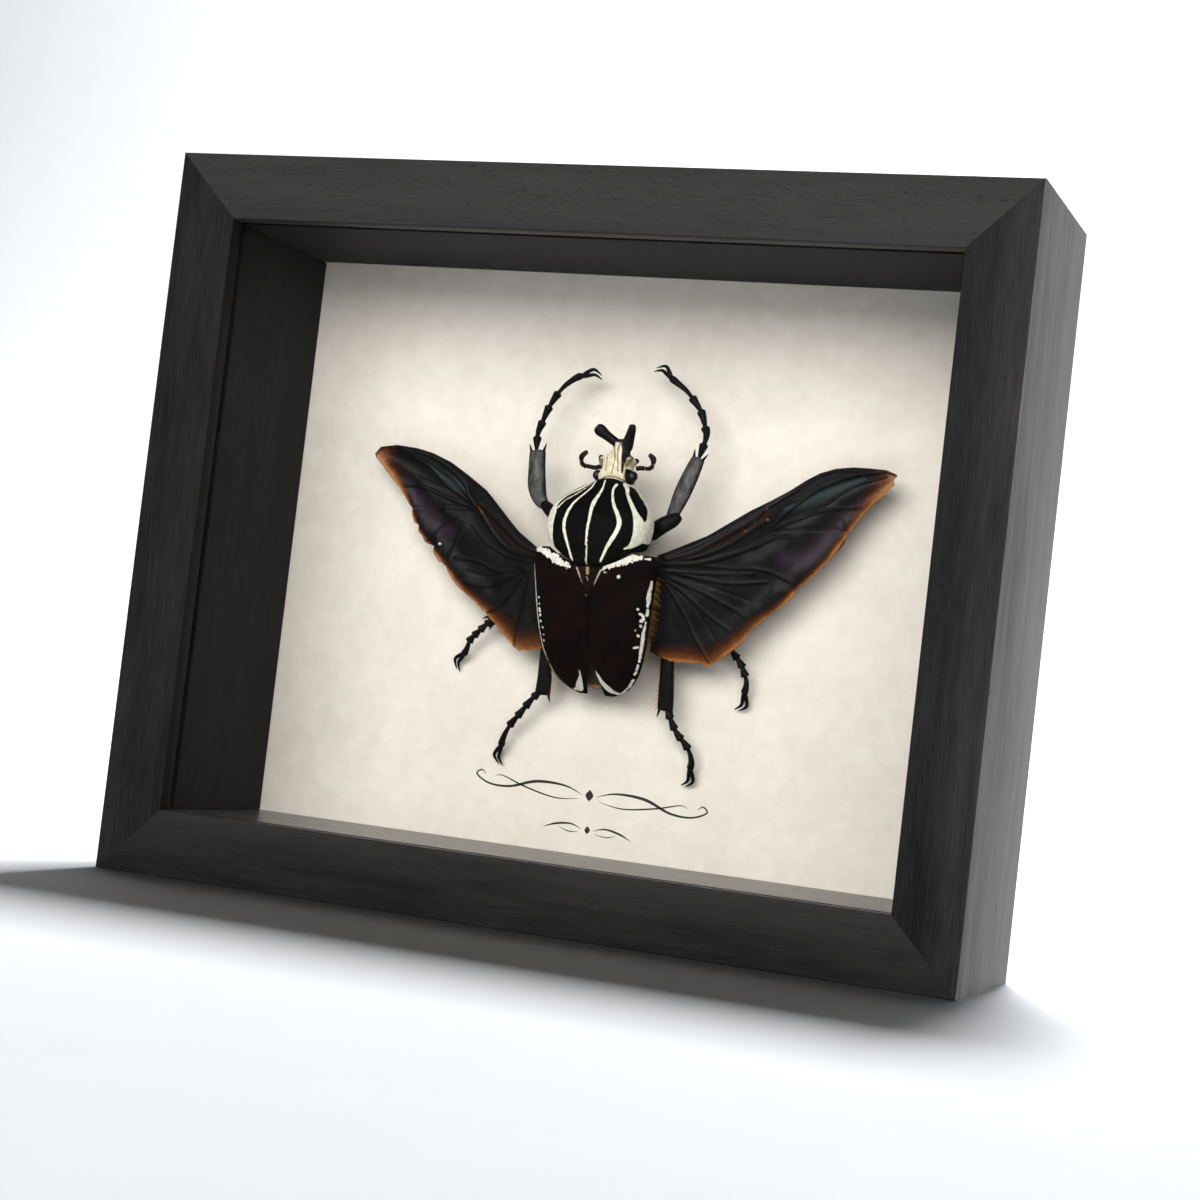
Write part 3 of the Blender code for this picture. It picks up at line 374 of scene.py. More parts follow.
board = Finish("cream_paper", Roughness=0.88, Specular_IOR_Level=0.25)
mottle = board.calc("MULTIPLY_ADD", board.cloud(6.5, detail=6, rough=0.7), 0.6,
                   board.calc("MULTIPLY", board.cloud(30, detail=3), 0.4))
cream = board.blend(board.step(mottle, 0.36, 0.64), tone(239, 231, 218), tone(248, 241, 230))
fibres = board.step(board.cloud(0.7, (6, 1, 1), detail=3, bend=1.5, turn=(0, 25, 0)), 0.66, 0.74)
board.set(Base_Color=board.blend(board.calc("MULTIPLY", fibres, 0.25), cream, tone(214, 203, 184)))
board.relief(board.cloud(0.45, detail=5), 0.03)
dress(cad_nodes["mount_board"], board)


# The print: a plain ornament in dark grey ink under the beetle, a long row of tapered
# flourishes about a small diamond, and a short one below it. It runs a little downhill.
# The tools that shape every sheet and shell from a flat grid are here too.

BOARD_FACE = 28.5
PRINT_LIFT = 0.03
PRINT_THICK = 0.02
PRINT_TURN = -2.1
# The right half of each row, as (x, z, half width) from its middle, and the row's middle.
PRINT_ROWS = [
    ((0.2, 40.4), [
        [(0.0, -1.9, .04), (0.0, 0.0, 1.35), (0.0, 1.9, .04)],
        [(2.4, -0.2, .04), (9.0, 1.9, .30), (19.0, 1.7, .48), (28.0, -1.3, .38), (35.4, -1.5, .30),
         (40.4, 0.8, .26), (38.9, 2.5, .22), (37.2, 1.3, .06)],
        [(3.4, -1.5, .04), (12.0, -2.5, .20), (23.0, -0.6, .26), (31.0, 1.7, .16), (34.0, 1.2, .04)],
    ]),
    ((0.8, 29.2), [
        [(0.0, -1.3, .04), (0.0, 0.0, .95), (0.0, 1.3, .04)],
        [(1.9, 0.0, .04), (6.0, 1.2, .26), (11.0, 0.5, .34), (15.4, -1.2, .05)],
        [(2.6, -1.0, .04), (6.6, -1.3, .16), (10.0, -0.4, .05)],
    ]),
]


def flow(rows, share):
    """The row that lies a share of the way down a table, smooth between its rows."""
    last = len(rows) - 1
    index = min(int(share * last), last - 1)
    t = share * last - index
    a, b, c, d = (rows[min(max(index + step, 0), last)] for step in (-1, 0, 1, 2))
    return [0.5 * (2 * q + (r - p) * t + (2 * p - 5 * q + 4 * r - s) * t * t
                   + (3 * q - p - 3 * r + s) * t ** 3) for p, q, r, s in zip(a, b, c, d)]


def bell(distance, width):
    return math.exp(-(distance / width) ** 2)


def bent_sheet(name, across, along, shape, closed=False):
    """A flat grid shaped into a shell: shape gives the point for its shares across and along."""
    let_go()
    bpy.ops.mesh.primitive_grid_add(x_subdivisions=across, y_subdivisions=along, size=1)
    piece = bpy.context.object
    piece.name = name
    for vert in piece.data.vertices:
        vert.co = shape(vert.co.x + 0.5, vert.co.y + 0.5)
    bpy.ops.object.mode_set(mode="EDIT")
    bpy.ops.mesh.select_all(action="SELECT")
    if closed:
        bpy.ops.mesh.remove_doubles(threshold=0.000001)
        bpy.ops.mesh.fill_holes(sides=0)
        bpy.ops.mesh.normals_make_consistent(inside=False)
    let_go()
    piece.data.shade_smooth()
    return piece


def join_pieces(name, pieces):
    """Several closed shells made one piece."""
    let_go()
    for piece in pieces:
        piece.select_set(True)
    bpy.context.view_layer.objects.active = pieces[0]
    if len(pieces) > 1:
        bpy.ops.object.join()
    pieces[0].name = name
    pieces[0].data.name = name
    let_go()
    return pieces[0]


def put_on(piece, finish, slot, *replaced):
    """Gives a finished piece its material and its place in the object."""
    dress(piece, finish)
    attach(piece, "root")
    if replaced:
        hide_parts(*replaced)


def thicken(piece, thick):
    """Turns an open sheet's face to the front and gives it a thickness behind that."""
    bpy.context.view_layer.objects.active = piece
    bpy.ops.object.mode_set(mode="EDIT")
    bpy.ops.mesh.select_all(action="SELECT")
    if sum(face.normal.y for face in bmesh.from_edit_mesh(piece.data).faces) > 0:
        bpy.ops.mesh.flip_normals()
    let_go()
    shell = piece.modifiers.new("thickness", "SOLIDIFY")
    shell.thickness = thick * MM
    shell.offset = -1.0
    bpy.ops.object.modifier_apply(modifier=shell.name)


def ink_shape(stroke, mirror, middle):
    turn = math.radians(PRINT_TURN)

    def shape(across, along):
        x, z, half = flow(stroke, along)
        before, after = flow(stroke, max(along - 0.01, 0)), flow(stroke, min(along + 0.01, 1))
        run = Vector((after[0] - before[0], after[1] - before[1])).normalized()
        x = mirror * (x - run.y * half * (across * 2 - 1))
        z += run.x * half * (across * 2 - 1)
        x, z = x * math.cos(turn) - z * math.sin(turn), x * math.sin(turn) + z * math.cos(turn)
        return Vector(((middle[0] + x) * MM, (BOARD_FACE - PRINT_LIFT) * MM, (middle[1] + z) * MM))
    return shape


ink_lines = []
for middle, strokes in PRINT_ROWS:
    for number, stroke in enumerate(strokes):
        for mirror in (1, -1) if number else (1,):
            line = bent_sheet("ink_line", 4, 60, ink_shape(stroke, mirror, middle))
            thicken(line, PRINT_THICK)
            ink_lines.append(line)
ornament = join_pieces("printed_ornament", ink_lines)
ink = Finish("print_ink", Roughness=0.8, Specular_IOR_Level=0.2)
ink.set(Base_Color=ink.blend(ink.step(ink.cloud(0.5, detail=4), 0.35, 0.7), tone(38, 36, 36),
                             tone(70, 67, 64)))
put_on(ornament, ink, "cream_board")


# The back: a brown hardboard panel, held in the frame by eight bright steel tabs, with a
# sawtooth hanger on two round headed nails, and two felt dots on the bottom bar.

hardboard = Finish("hardboard", Roughness=0.85, Specular_IOR_Level=0.2)
chips = hardboard.cloud(0.7, (2, 1, 2), detail=6, rough=0.7, bend=0.8)
fine_chips = hardboard.cells(0.5)
pressed = hardboard.calc("MULTIPLY_ADD", fine_chips, 0.25, hardboard.calc("MULTIPLY", chips, 0.8))
hardboard.set(Base_Color=hardboard.blend(hardboard.step(pressed, 0.3, 0.75), tone(70, 52, 38),
                                         tone(104, 80, 58)))
hardboard.relief(chips, 0.08)
dress(cad_nodes["back_panel"], hardboard)
zinc = Finish("bright_steel", Metallic=1.0)
zinc.set(Base_Color=zinc.blend(zinc.step(zinc.cloud(1.5, detail=5), 0.35, 0.68), tone(150, 150, 148),
                               tone(196, 196, 192)))
brushed = zinc.cloud(0.16, (14, 1, 1), detail=4)
zinc.set(Roughness=zinc.range(brushed, 0.24, 0.46))
zinc.relief(brushed, 0.01)
for name, node in cad_nodes.items():
    if name.startswith(("tab_", "sawtooth", "hanger_nail")):
        dress(node, zinc)
felt = Finish("black_felt", Roughness=1.0, Specular_IOR_Level=0.1, Sheen_Weight=0.4, Sheen_Roughness=0.6)
fuzz = felt.cloud(0.35, detail=6, rough=0.8, bend=1.5)
felt.set(Base_Color=felt.blend(felt.step(fuzz, 0.3, 0.75), tone(14, 14, 15), tone(44, 43, 44)))
felt.relief(fuzz, 0.25)
for name in ("bumper_left", "bumper_right"):
    dress(cad_nodes[name], felt)


# The trunk: the underside of thorax and abdomen, hard dark brown shell in six rings,
# the root of the legs and wings. The tools that paint every shell of the beetle are
# here too. A beetle's point is (u, z, h): right of its midline, up, before the board.

MIDLINE = 2.3
ROUND_END = 0.05        # the share of a body's length that its round ends take
# Down the trunk: z, centre, half width, low, widest, high.
TRUNK_ROWS = [
    (117.6, 0.0, 13.5, 3.0, 12.0, 16.6), (116.4, 0.0, 17.4, 1.0, 16.0, 20.2),
    (112.0, 0.0, 17.8, 0.5, 18.4, 28.4), (104.0, 0.0, 17.8, 0.5, 18.2, 26.6),
    (95.0, 0.0, 17.0, 0.8, 16.4, 23.7), (87.0, 0.0, 14.9, 1.4, 13.8, 20.0),
    (80.0, 0.0, 11.4, 2.6, 10.0, 14.8), (76.4, 0.0, 7.0, 4.0, 8.0, 11.0),
    (74.9, 0.0, 3.4, 5.4, 7.6, 8.3),
]
BELLY_RINGS = (97.5, 93.0, 88.5, 84.0, 80.0)
RING_DIP = 0.35


def spot(u, z, h):
    """A point of the beetle, in metres."""
    return Vector(((MIDLINE + u) * MM, (BOARD_FACE - h) * MM, z * MM))


def rounded(share, end=ROUND_END):
    """1 along a body, and down to nearly 0 over its round ends."""
    near = min(share, 1 - share) / end
    return 1.0 if near >= 1 else max(math.sqrt(1 - (1 - near) ** 2), 0.02)


def body_point(row, turn, power=2.5):
    """A point round a body's section, turn running from its right side over its back."""
    z, centre, half, low, widest, high = row[:6]
    across = math.copysign(abs(math.cos(turn)) ** (2 / power), math.cos(turn))
    rise = math.copysign(abs(math.sin(turn)) ** (2 / power), math.sin(turn))
    reach = high - widest if rise > 0 else widest - low
    return centre + across * half, z, widest + rise * reach, across, rise


def beetle_points(piece):
    """The points of a piece as rows of (u, z, h)."""
    flat = np.empty(len(piece.data.vertices) * 3)
    piece.data.vertices.foreach_get("co", flat)
    x, y, z = flat.reshape(-1, 3).T / MM
    return np.stack([x - MIDLINE, z, BOARD_FACE - y], axis=1)


def stroke_reach(points, stroke):
    """For each point its distance from a brush stroke of (u, z, half width), and that half width."""
    best = np.full(len(points), 1e3)
    half = np.full(len(points), 1.0)
    steps = 4 * len(stroke)
    smooth = [flow(stroke, step / steps) for step in range(steps + 1)] if len(stroke) > 2 else stroke
    for (u1, z1, w1), (u2, z2, w2) in zip(smooth, smooth[1:] or smooth):
        du, dz = u2 - u1, z2 - z1
        along = ((points[:, 0] - u1) * du + (points[:, 1] - z1) * dz) / max(du * du + dz * dz, 1e-9)
        along = np.clip(along, 0, 1)
        away = np.hypot(points[:, 0] - u1 - along * du, points[:, 1] - z1 - along * dz)
        width = w1 + (w2 - w1) * along
        nearer = away - width < best - half
        best = np.where(nearer, away, best)
        half = np.where(nearer, width, half)
    return best, half


def paint_edges(points, strokes):
    """How deep each point lies within the strokes, in mm: above 0 inside one."""
    depths = [half - away for away, half in (stroke_reach(points, stroke) for stroke in strokes)]
    return np.max(depths, axis=0)


def paint_soft(points, strokes):
    """1 on the line of a stroke, fading to 0 at its half width."""
    shares = [1 - away / half for away, half in (stroke_reach(points, stroke) for stroke in strokes)]
    return np.clip(np.max(shares, axis=0), 0, 1)


def keep_measure(piece, name, values):
    layer = piece.data.attributes.new(name, "FLOAT", "POINT")
    layer.data.foreach_set("value", np.asarray(values, dtype=np.float32))


def trunk_shape(across, along):
    row = flow(TRUNK_ROWS, along)
    dip = sum(bell(row[0] - z, 0.3) for z in BELLY_RINGS) * RING_DIP
    u, z, h, side, rise = body_point(row, across * 2 * math.pi)
    close = rounded(along) * (1 - dip / 16)
    return spot(row[1] + (u - row[1]) * close, z, row[4] + (h - row[4]) * close)


trunk = bent_sheet("trunk", 72, 90, trunk_shape, closed=True)
belly = Finish("belly_shell", Specular_IOR_Level=0.5)
blotch = belly.cloud(1.6, detail=5)
belly.set(Base_Color=belly.blend(belly.step(blotch, 0.35, 0.7), tone(30, 20, 16), tone(58, 34, 20)))
belly.set(Roughness=belly.range(blotch, 0.34, 0.55))
belly.relief(belly.cells(0.32), 0.04)
put_on(trunk, belly, "belly", "thorax_and_abdomen")


# The pronotum: the shield behind the head, one arched plate of black shell covered with
# a velvet of short hairs, and cream bands of scales that run down it. The bands are
# painted as brush strokes of (u, z, half width).

# Down the shield, in the trunk's order, and how far its middle bows up or down.
PRONOTUM_ROWS = [
    (140.6, 0.6, 6.2, 12.0, 18.5, 21.6, 1.5), (139.2, 0.4, 8.6, 10.5, 19.6, 23.6, 1.2),
    (137.0, 0.2, 11.4, 8.5, 20.8, 26.0, 0.5), (133.8, 0.0, 14.9, 6.5, 22.0, 28.8, 0.0),
    (130.3, 0.0, 17.0, 5.0, 22.8, 31.2, 0.0), (126.3, 0.0, 17.5, 4.0, 23.2, 32.9, -0.8),
    (122.6, 0.0, 17.0, 4.0, 23.4, 33.2, -3.2), (120.4, 0.0, 16.2, 4.6, 23.4, 32.3, -6.2),
    (119.9, 0.0, 15.6, 5.2, 23.2, 31.0, -6.8),
]
RIM_PROUD = 0.22
RIM_PAINT = 0.8         # how far below its widest line the cream bands reach
UNDERCUT = 0.42
PRONOTUM_BANDS = [
    [(-4.8, 140.2, .5), (-8.2, 137.5, .5), (-12.0, 134.9, .36), (-14.7, 131.8, 1.1),
     (-15.4, 128.8, 2.2), (-15.6, 125.8, 2.3), (-15.0, 122.6, 1.9), (-13.9, 119.9, 1.1),
     (-12.6, 118.5, .3)],
    [(-4.4, 139.4, .1), (-8.2, 135.7, .2), (-11.2, 133.3, .22), (-13.1, 130.6, .3)],
    [(-3.7, 140.4, .28), (-4.0, 138.2, .3), (-5.8, 135.4, .34), (-7.6, 132.8, .42),
     (-8.7, 129.6, .54), (-9.1, 126.8, .6), (-8.9, 124.2, .56), (-8.1, 121.8, .5),
     (-6.7, 118.6, .42), (-5.0, 114.2, .34)],
    [(-0.5, 141.0, .24), (-0.1, 138.4, .34), (-0.4, 135.8, .5), (-1.0, 133.2, .76),
     (-0.9, 130.6, .6), (-0.7, 127.6, .48), (-0.6, 123.0, .42), (-0.3, 118.6, .38),
     (-0.2, 113.2, .32)],
    [(3.8, 139.7, .55), (3.5, 138.2, .38), (4.2, 135.8, .38), (5.8, 132.8, .48), (8.0, 129.8, .6),
     (9.2, 127.2, .7), (8.9, 124.6, .72), (7.7, 121.8, .65), (6.2, 118.6, .5),
     (4.6, 114.6, .34)],
    [(6.0, 140.6, .6), (7.4, 138.8, .5), (8.8, 136.4, .42), (11.0, 133.6, .5),
     (13.0, 130.8, .75), (14.6, 128.0, 1.4), (15.4, 125.2, 1.8), (14.8, 122.4, 1.4),
     (13.2, 120.2, .6), (11.6, 119.2, .2)],
    [(6.2, 141.0, .5), (9.2, 139.5, .42), (11.7, 137.4, .5), (14.1, 135.1, .55),
     (16.1, 132.6, .6), (17.2, 129.4, .9), (17.2, 125.8, 1.4), (16.2, 122.6, 1.0)],
]


def pronotum_shape(across, along):
    row = flow(PRONOTUM_ROWS, along)
    u, z, h, side, rise = body_point(row, across * 2 * math.pi)
    bow = row[6] * max(rise, 0.0) * (1 - abs(side) ** 2.2)
    close = rounded(along, 0.035)
    rim = RIM_PROUD * bell(h - row[4], 0.5)
    tuck = 1 - UNDERCUT * max(-rise, 0.0)
    u = row[1] + (u - row[1]) * close * tuck + math.copysign(rim, u)
    return spot(u, z + bow, row[4] + (h - row[4]) * close)


def velvet(name, dark, shine, cream_low, cream_high, ragged=0.7):
    """Shell with a short nap, and bands of cream scales where the piece's paint is above 0."""
    shell = Finish(name, Specular_IOR_Level=shine)
    nap = shell.cloud(0.5, detail=5, rough=0.7)
    patch = shell.cloud(7, detail=3)
    ground = shell.blend(shell.step(patch, 0.35, 0.7), dark[0], dark[1])
    frayed = shell.calc("MULTIPLY_ADD", shell.cloud(0.9, detail=4, rough=0.75), ragged, -ragged / 2)
    paint = shell.calc("ADD", shell.measure("paint"), frayed)
    share = shell.step(paint, -0.03, 0.06)
    flecks = shell.blend(shell.step(shell.cloud(1.3, detail=5, rough=0.7), 0.38, 0.66),
                         cream_low, cream_high)
    shell.set(Base_Color=shell.blend(share, ground, flecks))
    shell.set(Roughness=shell.calc("MULTIPLY_ADD", share, 0.35, shell.range(nap, 0.46, 0.64)))
    shell.relief(nap, 0.035)
    shell.relief(shell.cells(0.34), 0.03)
    shell.relief(share, 0.04)
    return shell


pronotum = bent_sheet("pronotum_shield", 320, 170, pronotum_shape, closed=True)
points = beetle_points(pronotum)
bands = paint_edges(points, PRONOTUM_BANDS)
rims = np.interp(-points[:, 1], [-row[0] for row in PRONOTUM_ROWS],
                 [row[4] for row in PRONOTUM_ROWS])
keep_measure(pronotum, "paint", np.minimum(bands, points[:, 2] - rims + RIM_PAINT))
black_velvet = velvet("black_velvet", (tone(7, 6, 6), tone(13, 11, 11)), 0.02,
                      tone(216, 217, 192), tone(246, 245, 232))
put_on(pronotum, black_velvet, "black_shell", "pronotum")


# The wing cases: two arched shells that meet along the seam, dark maroon velvet over
# black, with a cream band at the root, a thin cream edge and drops of the same scales.
# They are hinged under the pronotum and a little open at the tips.

# z, and the height of the seam, then of the outer edge.
SEAM_ROWS = [(118, 31.0), (112, 30.2), (104, 28.4), (95, 25.4), (87, 21.8), (79, 16.2), (73, 10.4)]
SIDE_ROWS = [(118, 24.0), (110, 23.4), (102, 22.0), (95, 20.2), (86, 17.4), (80, 14.4), (73, 9.4)]
# z, and how far from the midline the outer edge lies.
CASE_ROWS = [
    (118, 20.2), (115, 21.1), (111, 20.8), (106, 20.2), (101, 19.7), (96, 19.1), (91, 18.4),
    (86, 17.4), (82, 16.0), (79, 14.4), (76.5, 12.3), (74.8, 9.9), (73.6, 7.4), (73.1, 6.0)
]
CASE_THICK = 0.8
CASE_ROOT = 118.0       # z, as are the slant's end and the place where the tips part
SLANT_END = 100.0
TIPS_PART = 88.0
CASE_TIP = 73.1
SCUTELLUM_TOP = 112.6
SCUTELLUM_END = 103.4
SCUTELLUM_HALF = 4.6
SCUTELLUM_ROOM = 4.9    # how far the inner edge stands off the midline beside the scutellum
SEAM_GAP = 0.12
TIP_GAP = 3.0
SHOULDER_BUMP = (15.0, 113.6, 0.7, 3.2)      # u, z, rise, width
TIP_BUMP = (10.6, 80.4, 0.5, 2.6)
SEAM_ROLL = 0.4
ROOT_FRAY = 0.9
LEFT_CASE_PAINT = [
    [(-21.4, 117.2, .35), (-19.4, 117.2, .7), (-17.0, 116.6, .95), (-14.2, 115.6, 1.15),
     (-11.6, 114.5, 1.2), (-9.2, 113.4, 1.0), (-7.4, 112.6, .6), (-6.2, 112.2, .25)],
    [(-7.2, 111.4, .25)],
    [(-0.3, 106.4, .22), (-0.3, 103.8, .22)],
]
RIGHT_CASE_PAINT = [
    [(5.0, 112.6, .45), (7.6, 114.0, 1.1), (10.6, 115.6, 1.55), (13.0, 116.5, 1.5),
     (15.4, 117.0, .9), (17.4, 117.0, .5), (18.8, 117.0, .25)],
    [(5.8, 111.4, .25), (6.4, 111.3, .2)],
    [(16.3, 101.1, .38)], [(16.9, 99.8, .4), (17.7, 99.2, .44), (17.9, 98.4, .44), (17.2, 97.5, .5)],
    [(17.1, 96.0, .5)], [(15.5, 94.4, .26)], [(16.3, 92.9, .42)], [(14.8, 89.0, .34), (16.0, 89.4, .36)],
]
# The same, but the first number is the distance in from the outer edge of the wing case.
LEFT_EDGE_PAINT = [
    [(.6, 112, .16), (.7, 104, .2), (.7, 95, .2), (.7, 86, .15), (.6, 79, .11), (.5, 75, .1)],
    [(2.0, 101.9, .34)], [(2.0, 99.8, .32)], [(1.9, 98.2, .44), (1.9, 97.6, .44)],
    [(1.9, 96.3, .44)], [(1.8, 94.4, .4)], [(2.3, 92.5, .34)], [(2.2, 90.2, .3)],
    [(1.8, 88.5, .34)],
]
RIGHT_EDGE_PAINT = [
    [(.8, 110.4, .2), (.9, 107.6, .42), (.95, 105.0, .56), (.85, 102.2, .3)],
    [(.8, 101.2, .35), (.8, 99.6, .4)],
    [(.8, 97.4, .2), (.95, 94.4, .4), (1.0, 91.2, .5), (.95, 88.0, .45), (.9, 85.0, .3)],
    [(.9, 83.8, .35), (.9, 82.6, .4)], [(.9, 81.6, .4), (.9, 80.8, .4)],
    [(.7, 79.0, .4), (.6, 77.4, .45), (.5, 75.8, .36), (.4, 74.4, .26)],
]
LEFT_TIP_PAINT = [[(-4.0, 80.2, .16), (-4.0, 78.6, .4), (-4.6, 76.6, 1.0), (-5.1, 75.0, 1.3)],
                  [(-5.0, 74.6, .8), (-7.2, 74.2, .35)]]
RIGHT_TIP_PAINT = [[(1.8, 80.6, .18), (2.5, 78.6, .5), (3.7, 76.6, .75), (5.3, 75.2, .85),
                    (6.9, 74.4, .55), (8.6, 74.2, .3), (10.6, 75.4, .2)]]


def smooth_curve(rows, degree):
    """A smooth curve through a table of (z, value)."""
    return np.poly1d(np.polyfit([z for z, _ in rows], [value for _, value in rows], degree))


seam_height = smooth_curve(SEAM_ROWS, 4)
side_height = smooth_curve(SIDE_ROWS, 3)


def case_base(u):
    """How far up the root of the wing cases reaches, just behind the pronotum."""
    return min(112.1 + 7.3 * (abs(u) / 16) ** 1.6, CASE_ROOT)


def case_seam(z):
    """How far a wing case's inner edge lies from the midline: past the scutellum, and open
    again towards the tip."""
    beside = max(0.0, (z - SCUTELLUM_END) / (SCUTELLUM_TOP - SCUTELLUM_END))
    spread = max(0.0, (TIPS_PART - z) / (TIPS_PART - CASE_TIP))
    return SEAM_GAP + SCUTELLUM_ROOM * beside + TIP_GAP * spread ** 1.5


def case_shape(side):
    def shape(across, along):
        z, outer = flow(CASE_ROWS, along)
        root = max(0.0, (z - SLANT_END) / (CASE_ROOT - SLANT_END)) ** 2
        slant = (case_base(SCUTELLUM_HALF) - CASE_ROOT) * root
        inner = case_seam(min(z + slant, SCUTELLUM_TOP))
        share = 1 - across if side > 0 else across
        u = outer + (inner - outer) * share
        out = 1 - share
        arch = 0.55 * (1 - out ** 2) + 0.45 * max(1 - out ** 8, 0) ** 0.5
        h = side_height(z) + (seam_height(z) - side_height(z)) * arch
        z += (case_base(u) - CASE_ROOT) * root
        h -= SEAM_ROLL * bell(u - inner, 0.35)
        h += 0.12 * bell(u - inner - 1.3, 0.6)
        h -= 0.5 * bell(along, 0.012)
        for bump_u, bump_z, rise, width in (SHOULDER_BUMP, TIP_BUMP):
            h += rise * bell(math.hypot(u - bump_u, z - bump_z), width)
        return spot(side * u, z, h)
    return shape


def case_paint(piece, strokes, edge_strokes, side):
    points = beetle_points(piece)
    edges = np.interp(-points[:, 1], [-z for z, _ in CASE_ROWS], [outer for _, outer in CASE_ROWS])
    from_edge = np.stack([edges - side * points[:, 0], points[:, 1]], axis=1)
    frayed = [noise.noise(Vector((u * 1.2, z * 1.2, 5.5))) * ROOT_FRAY for u, z, _ in points]
    paint = np.maximum(paint_edges(points, strokes[:1]) + frayed, paint_edges(points, strokes[1:]))
    keep_measure(piece, "paint", np.maximum(paint, paint_edges(from_edge, edge_strokes)))


maroon_velvet = velvet("maroon_velvet", (tone(13, 6, 6), tone(24, 9, 8)), 0.02,
                       tone(218, 217, 200), tone(248, 246, 236), ragged=1.1)
for name, side, strokes, edge_strokes in (
    ("wing_case_left", -1, LEFT_CASE_PAINT + LEFT_TIP_PAINT, LEFT_EDGE_PAINT),
    ("wing_case_right", 1, RIGHT_CASE_PAINT + RIGHT_TIP_PAINT, RIGHT_EDGE_PAINT),
):
    case = bent_sheet(name, 120, 220, case_shape(side))
    thicken(case, CASE_THICK)
    case_paint(case, strokes, edge_strokes, side)
    put_on(case, maroon_velvet, "maroon_shell", name.replace("wing_case", "elytron"))


# The scutellum: the small three cornered plate between the roots of the wing cases, dark
# brown and bare in the middle, with cream scales down both sides.

SCUTELLUM_LONG = 8.2
SCUTELLUM_PAINT = [
    [(-4.2, 112.6, .3), (-3.2, 110.4, .22), (-1.9, 107.6, .1)],
    [(4.4, 112.4, .34), (3.2, 109.8, .26), (1.8, 106.4, .1)],
    [(-0.35, 109.4, .22)], [(0.1, 108.7, .16)],
]


def scutellum_shape(across, along):
    t = across * 2 - 1
    z = SCUTELLUM_TOP - SCUTELLUM_LONG * along - 0.5 * t * t * (1 - along)
    half = SCUTELLUM_HALF * (1 - 0.9 * along ** 1.15)
    h = seam_height(z) + 0.1 - 0.4 * t * t - 0.35 * bell(1 - abs(t), 0.12)
    return spot(half * t, z, h)


scutellum = bent_sheet("scutellum_plate", 40, 60, scutellum_shape)
thicken(scutellum, 0.7)
points = beetle_points(scutellum)
keep_measure(scutellum, "paint", paint_edges(points, SCUTELLUM_PAINT))
keep_measure(scutellum, "bare", paint_soft(points, [[(-0.2, 112.8, .9), (-0.1, 110.6, .7)]]))
brown_velvet = velvet("brown_velvet", (tone(18, 9, 7), tone(40, 19, 11)), 0.04,
                      tone(196, 180, 150), tone(236, 228, 208))
bare = brown_velvet.step(brown_velvet.measure("bare"), 0.05, 0.7)
painted = brown_velvet.shader.inputs["Base Color"].links[0].from_socket
brown_velvet.set(Base_Color=brown_velvet.blend(bare, painted, tone(168, 138, 100)))
put_on(scutellum, brown_velvet, "maroon_shell", "scutellum")


# The head: hard cream shell with brown streaks, drawn out into a horn that forks into
# two black blunt prongs. The cheeks end in dark points, and the eyes sit behind them.

HEAD_ROWS = [
    (140.6, 0.6, 5.8, 12.0, 16.0, 19.6), (143.0, 0.6, 6.2, 12.0, 16.0, 20.1),
    (145.2, 0.6, 5.2, 12.2, 16.0, 19.9), (147.2, 0.8, 5.2, 12.6, 15.8, 19.5),
    (149.0, 0.8, 5.0, 13.0, 15.4, 19.0), (150.4, 0.8, 3.6, 13.8, 15.4, 18.4),
    (151.2, 0.8, 2.2, 14.6, 15.6, 17.9),
]
# The lumps that melt into the head, as stations of (u, z, h, half width, half height): the
# stem of the horn, its two prongs, the points of the cheeks, a ridge and the left brow.
HORN_LIMBS = [
    [(0.7, 144.6, 17.0, 3.3, 1.9), (1.0, 147.6, 17.4, 3.5, 2.0), (1.7, 150.4, 17.8, 3.3, 1.8),
     (1.9, 152.4, 18.1, 3.0, 1.6), (1.3, 153.9, 18.3, 2.6, 1.4), (1.1, 155.0, 18.6, 1.9, 1.1)],
    [(1.4, 153.0, 18.2, 1.5, 1.4), (-0.9, 154.3, 18.8, 1.5, 1.4), (-2.9, 155.6, 19.6, 1.6, 1.4),
     (-4.6, 156.8, 20.4, 1.95, 1.45), (-5.6, 157.5, 20.9, 1.9, 1.35), (-6.5, 158.1, 21.2, 1.2, 1.0)],
    [(3.4, 151.6, 17.8, 1.9, 1.3), (4.1, 154.0, 18.6, 1.95, 1.3), (5.0, 156.2, 19.8, 1.6, 1.3),
     (5.7, 158.2, 20.8, 1.35, 1.15), (5.8, 159.7, 21.3, 0.95, 0.8)],
    [(-2.8, 146.4, 16.6, 1.8, 1.5), (-4.8, 148.0, 16.0, 1.4, 1.1), (-6.2, 149.6, 15.4, 0.6, 0.5)],
    [(3.8, 146.4, 16.6, 1.8, 1.5), (5.4, 147.8, 16.0, 1.35, 1.1), (7.2, 149.1, 15.4, 0.6, 0.5)],
    [(-0.4, 147.0, 18.6, .8, .8), (0.2, 150.0, 18.9, .7, .7), (0.6, 152.4, 19.1, .6, .5)],
    [(-3.2, 144.0, 17.2, 1.5, 1.4), (-2.4, 147.0, 17.4, 1.3, 1.3), (-1.0, 150.2, 17.6, 1.1, 1.1)],
]
EYES = {"left": (-5.7, 143.1, 16.4), "right": (6.2, 143.5, 16.8)}
EYE_ROUND = 1.75
HEAD_GRAIN = 0.2
SMOOTH_ROUNDS = 4
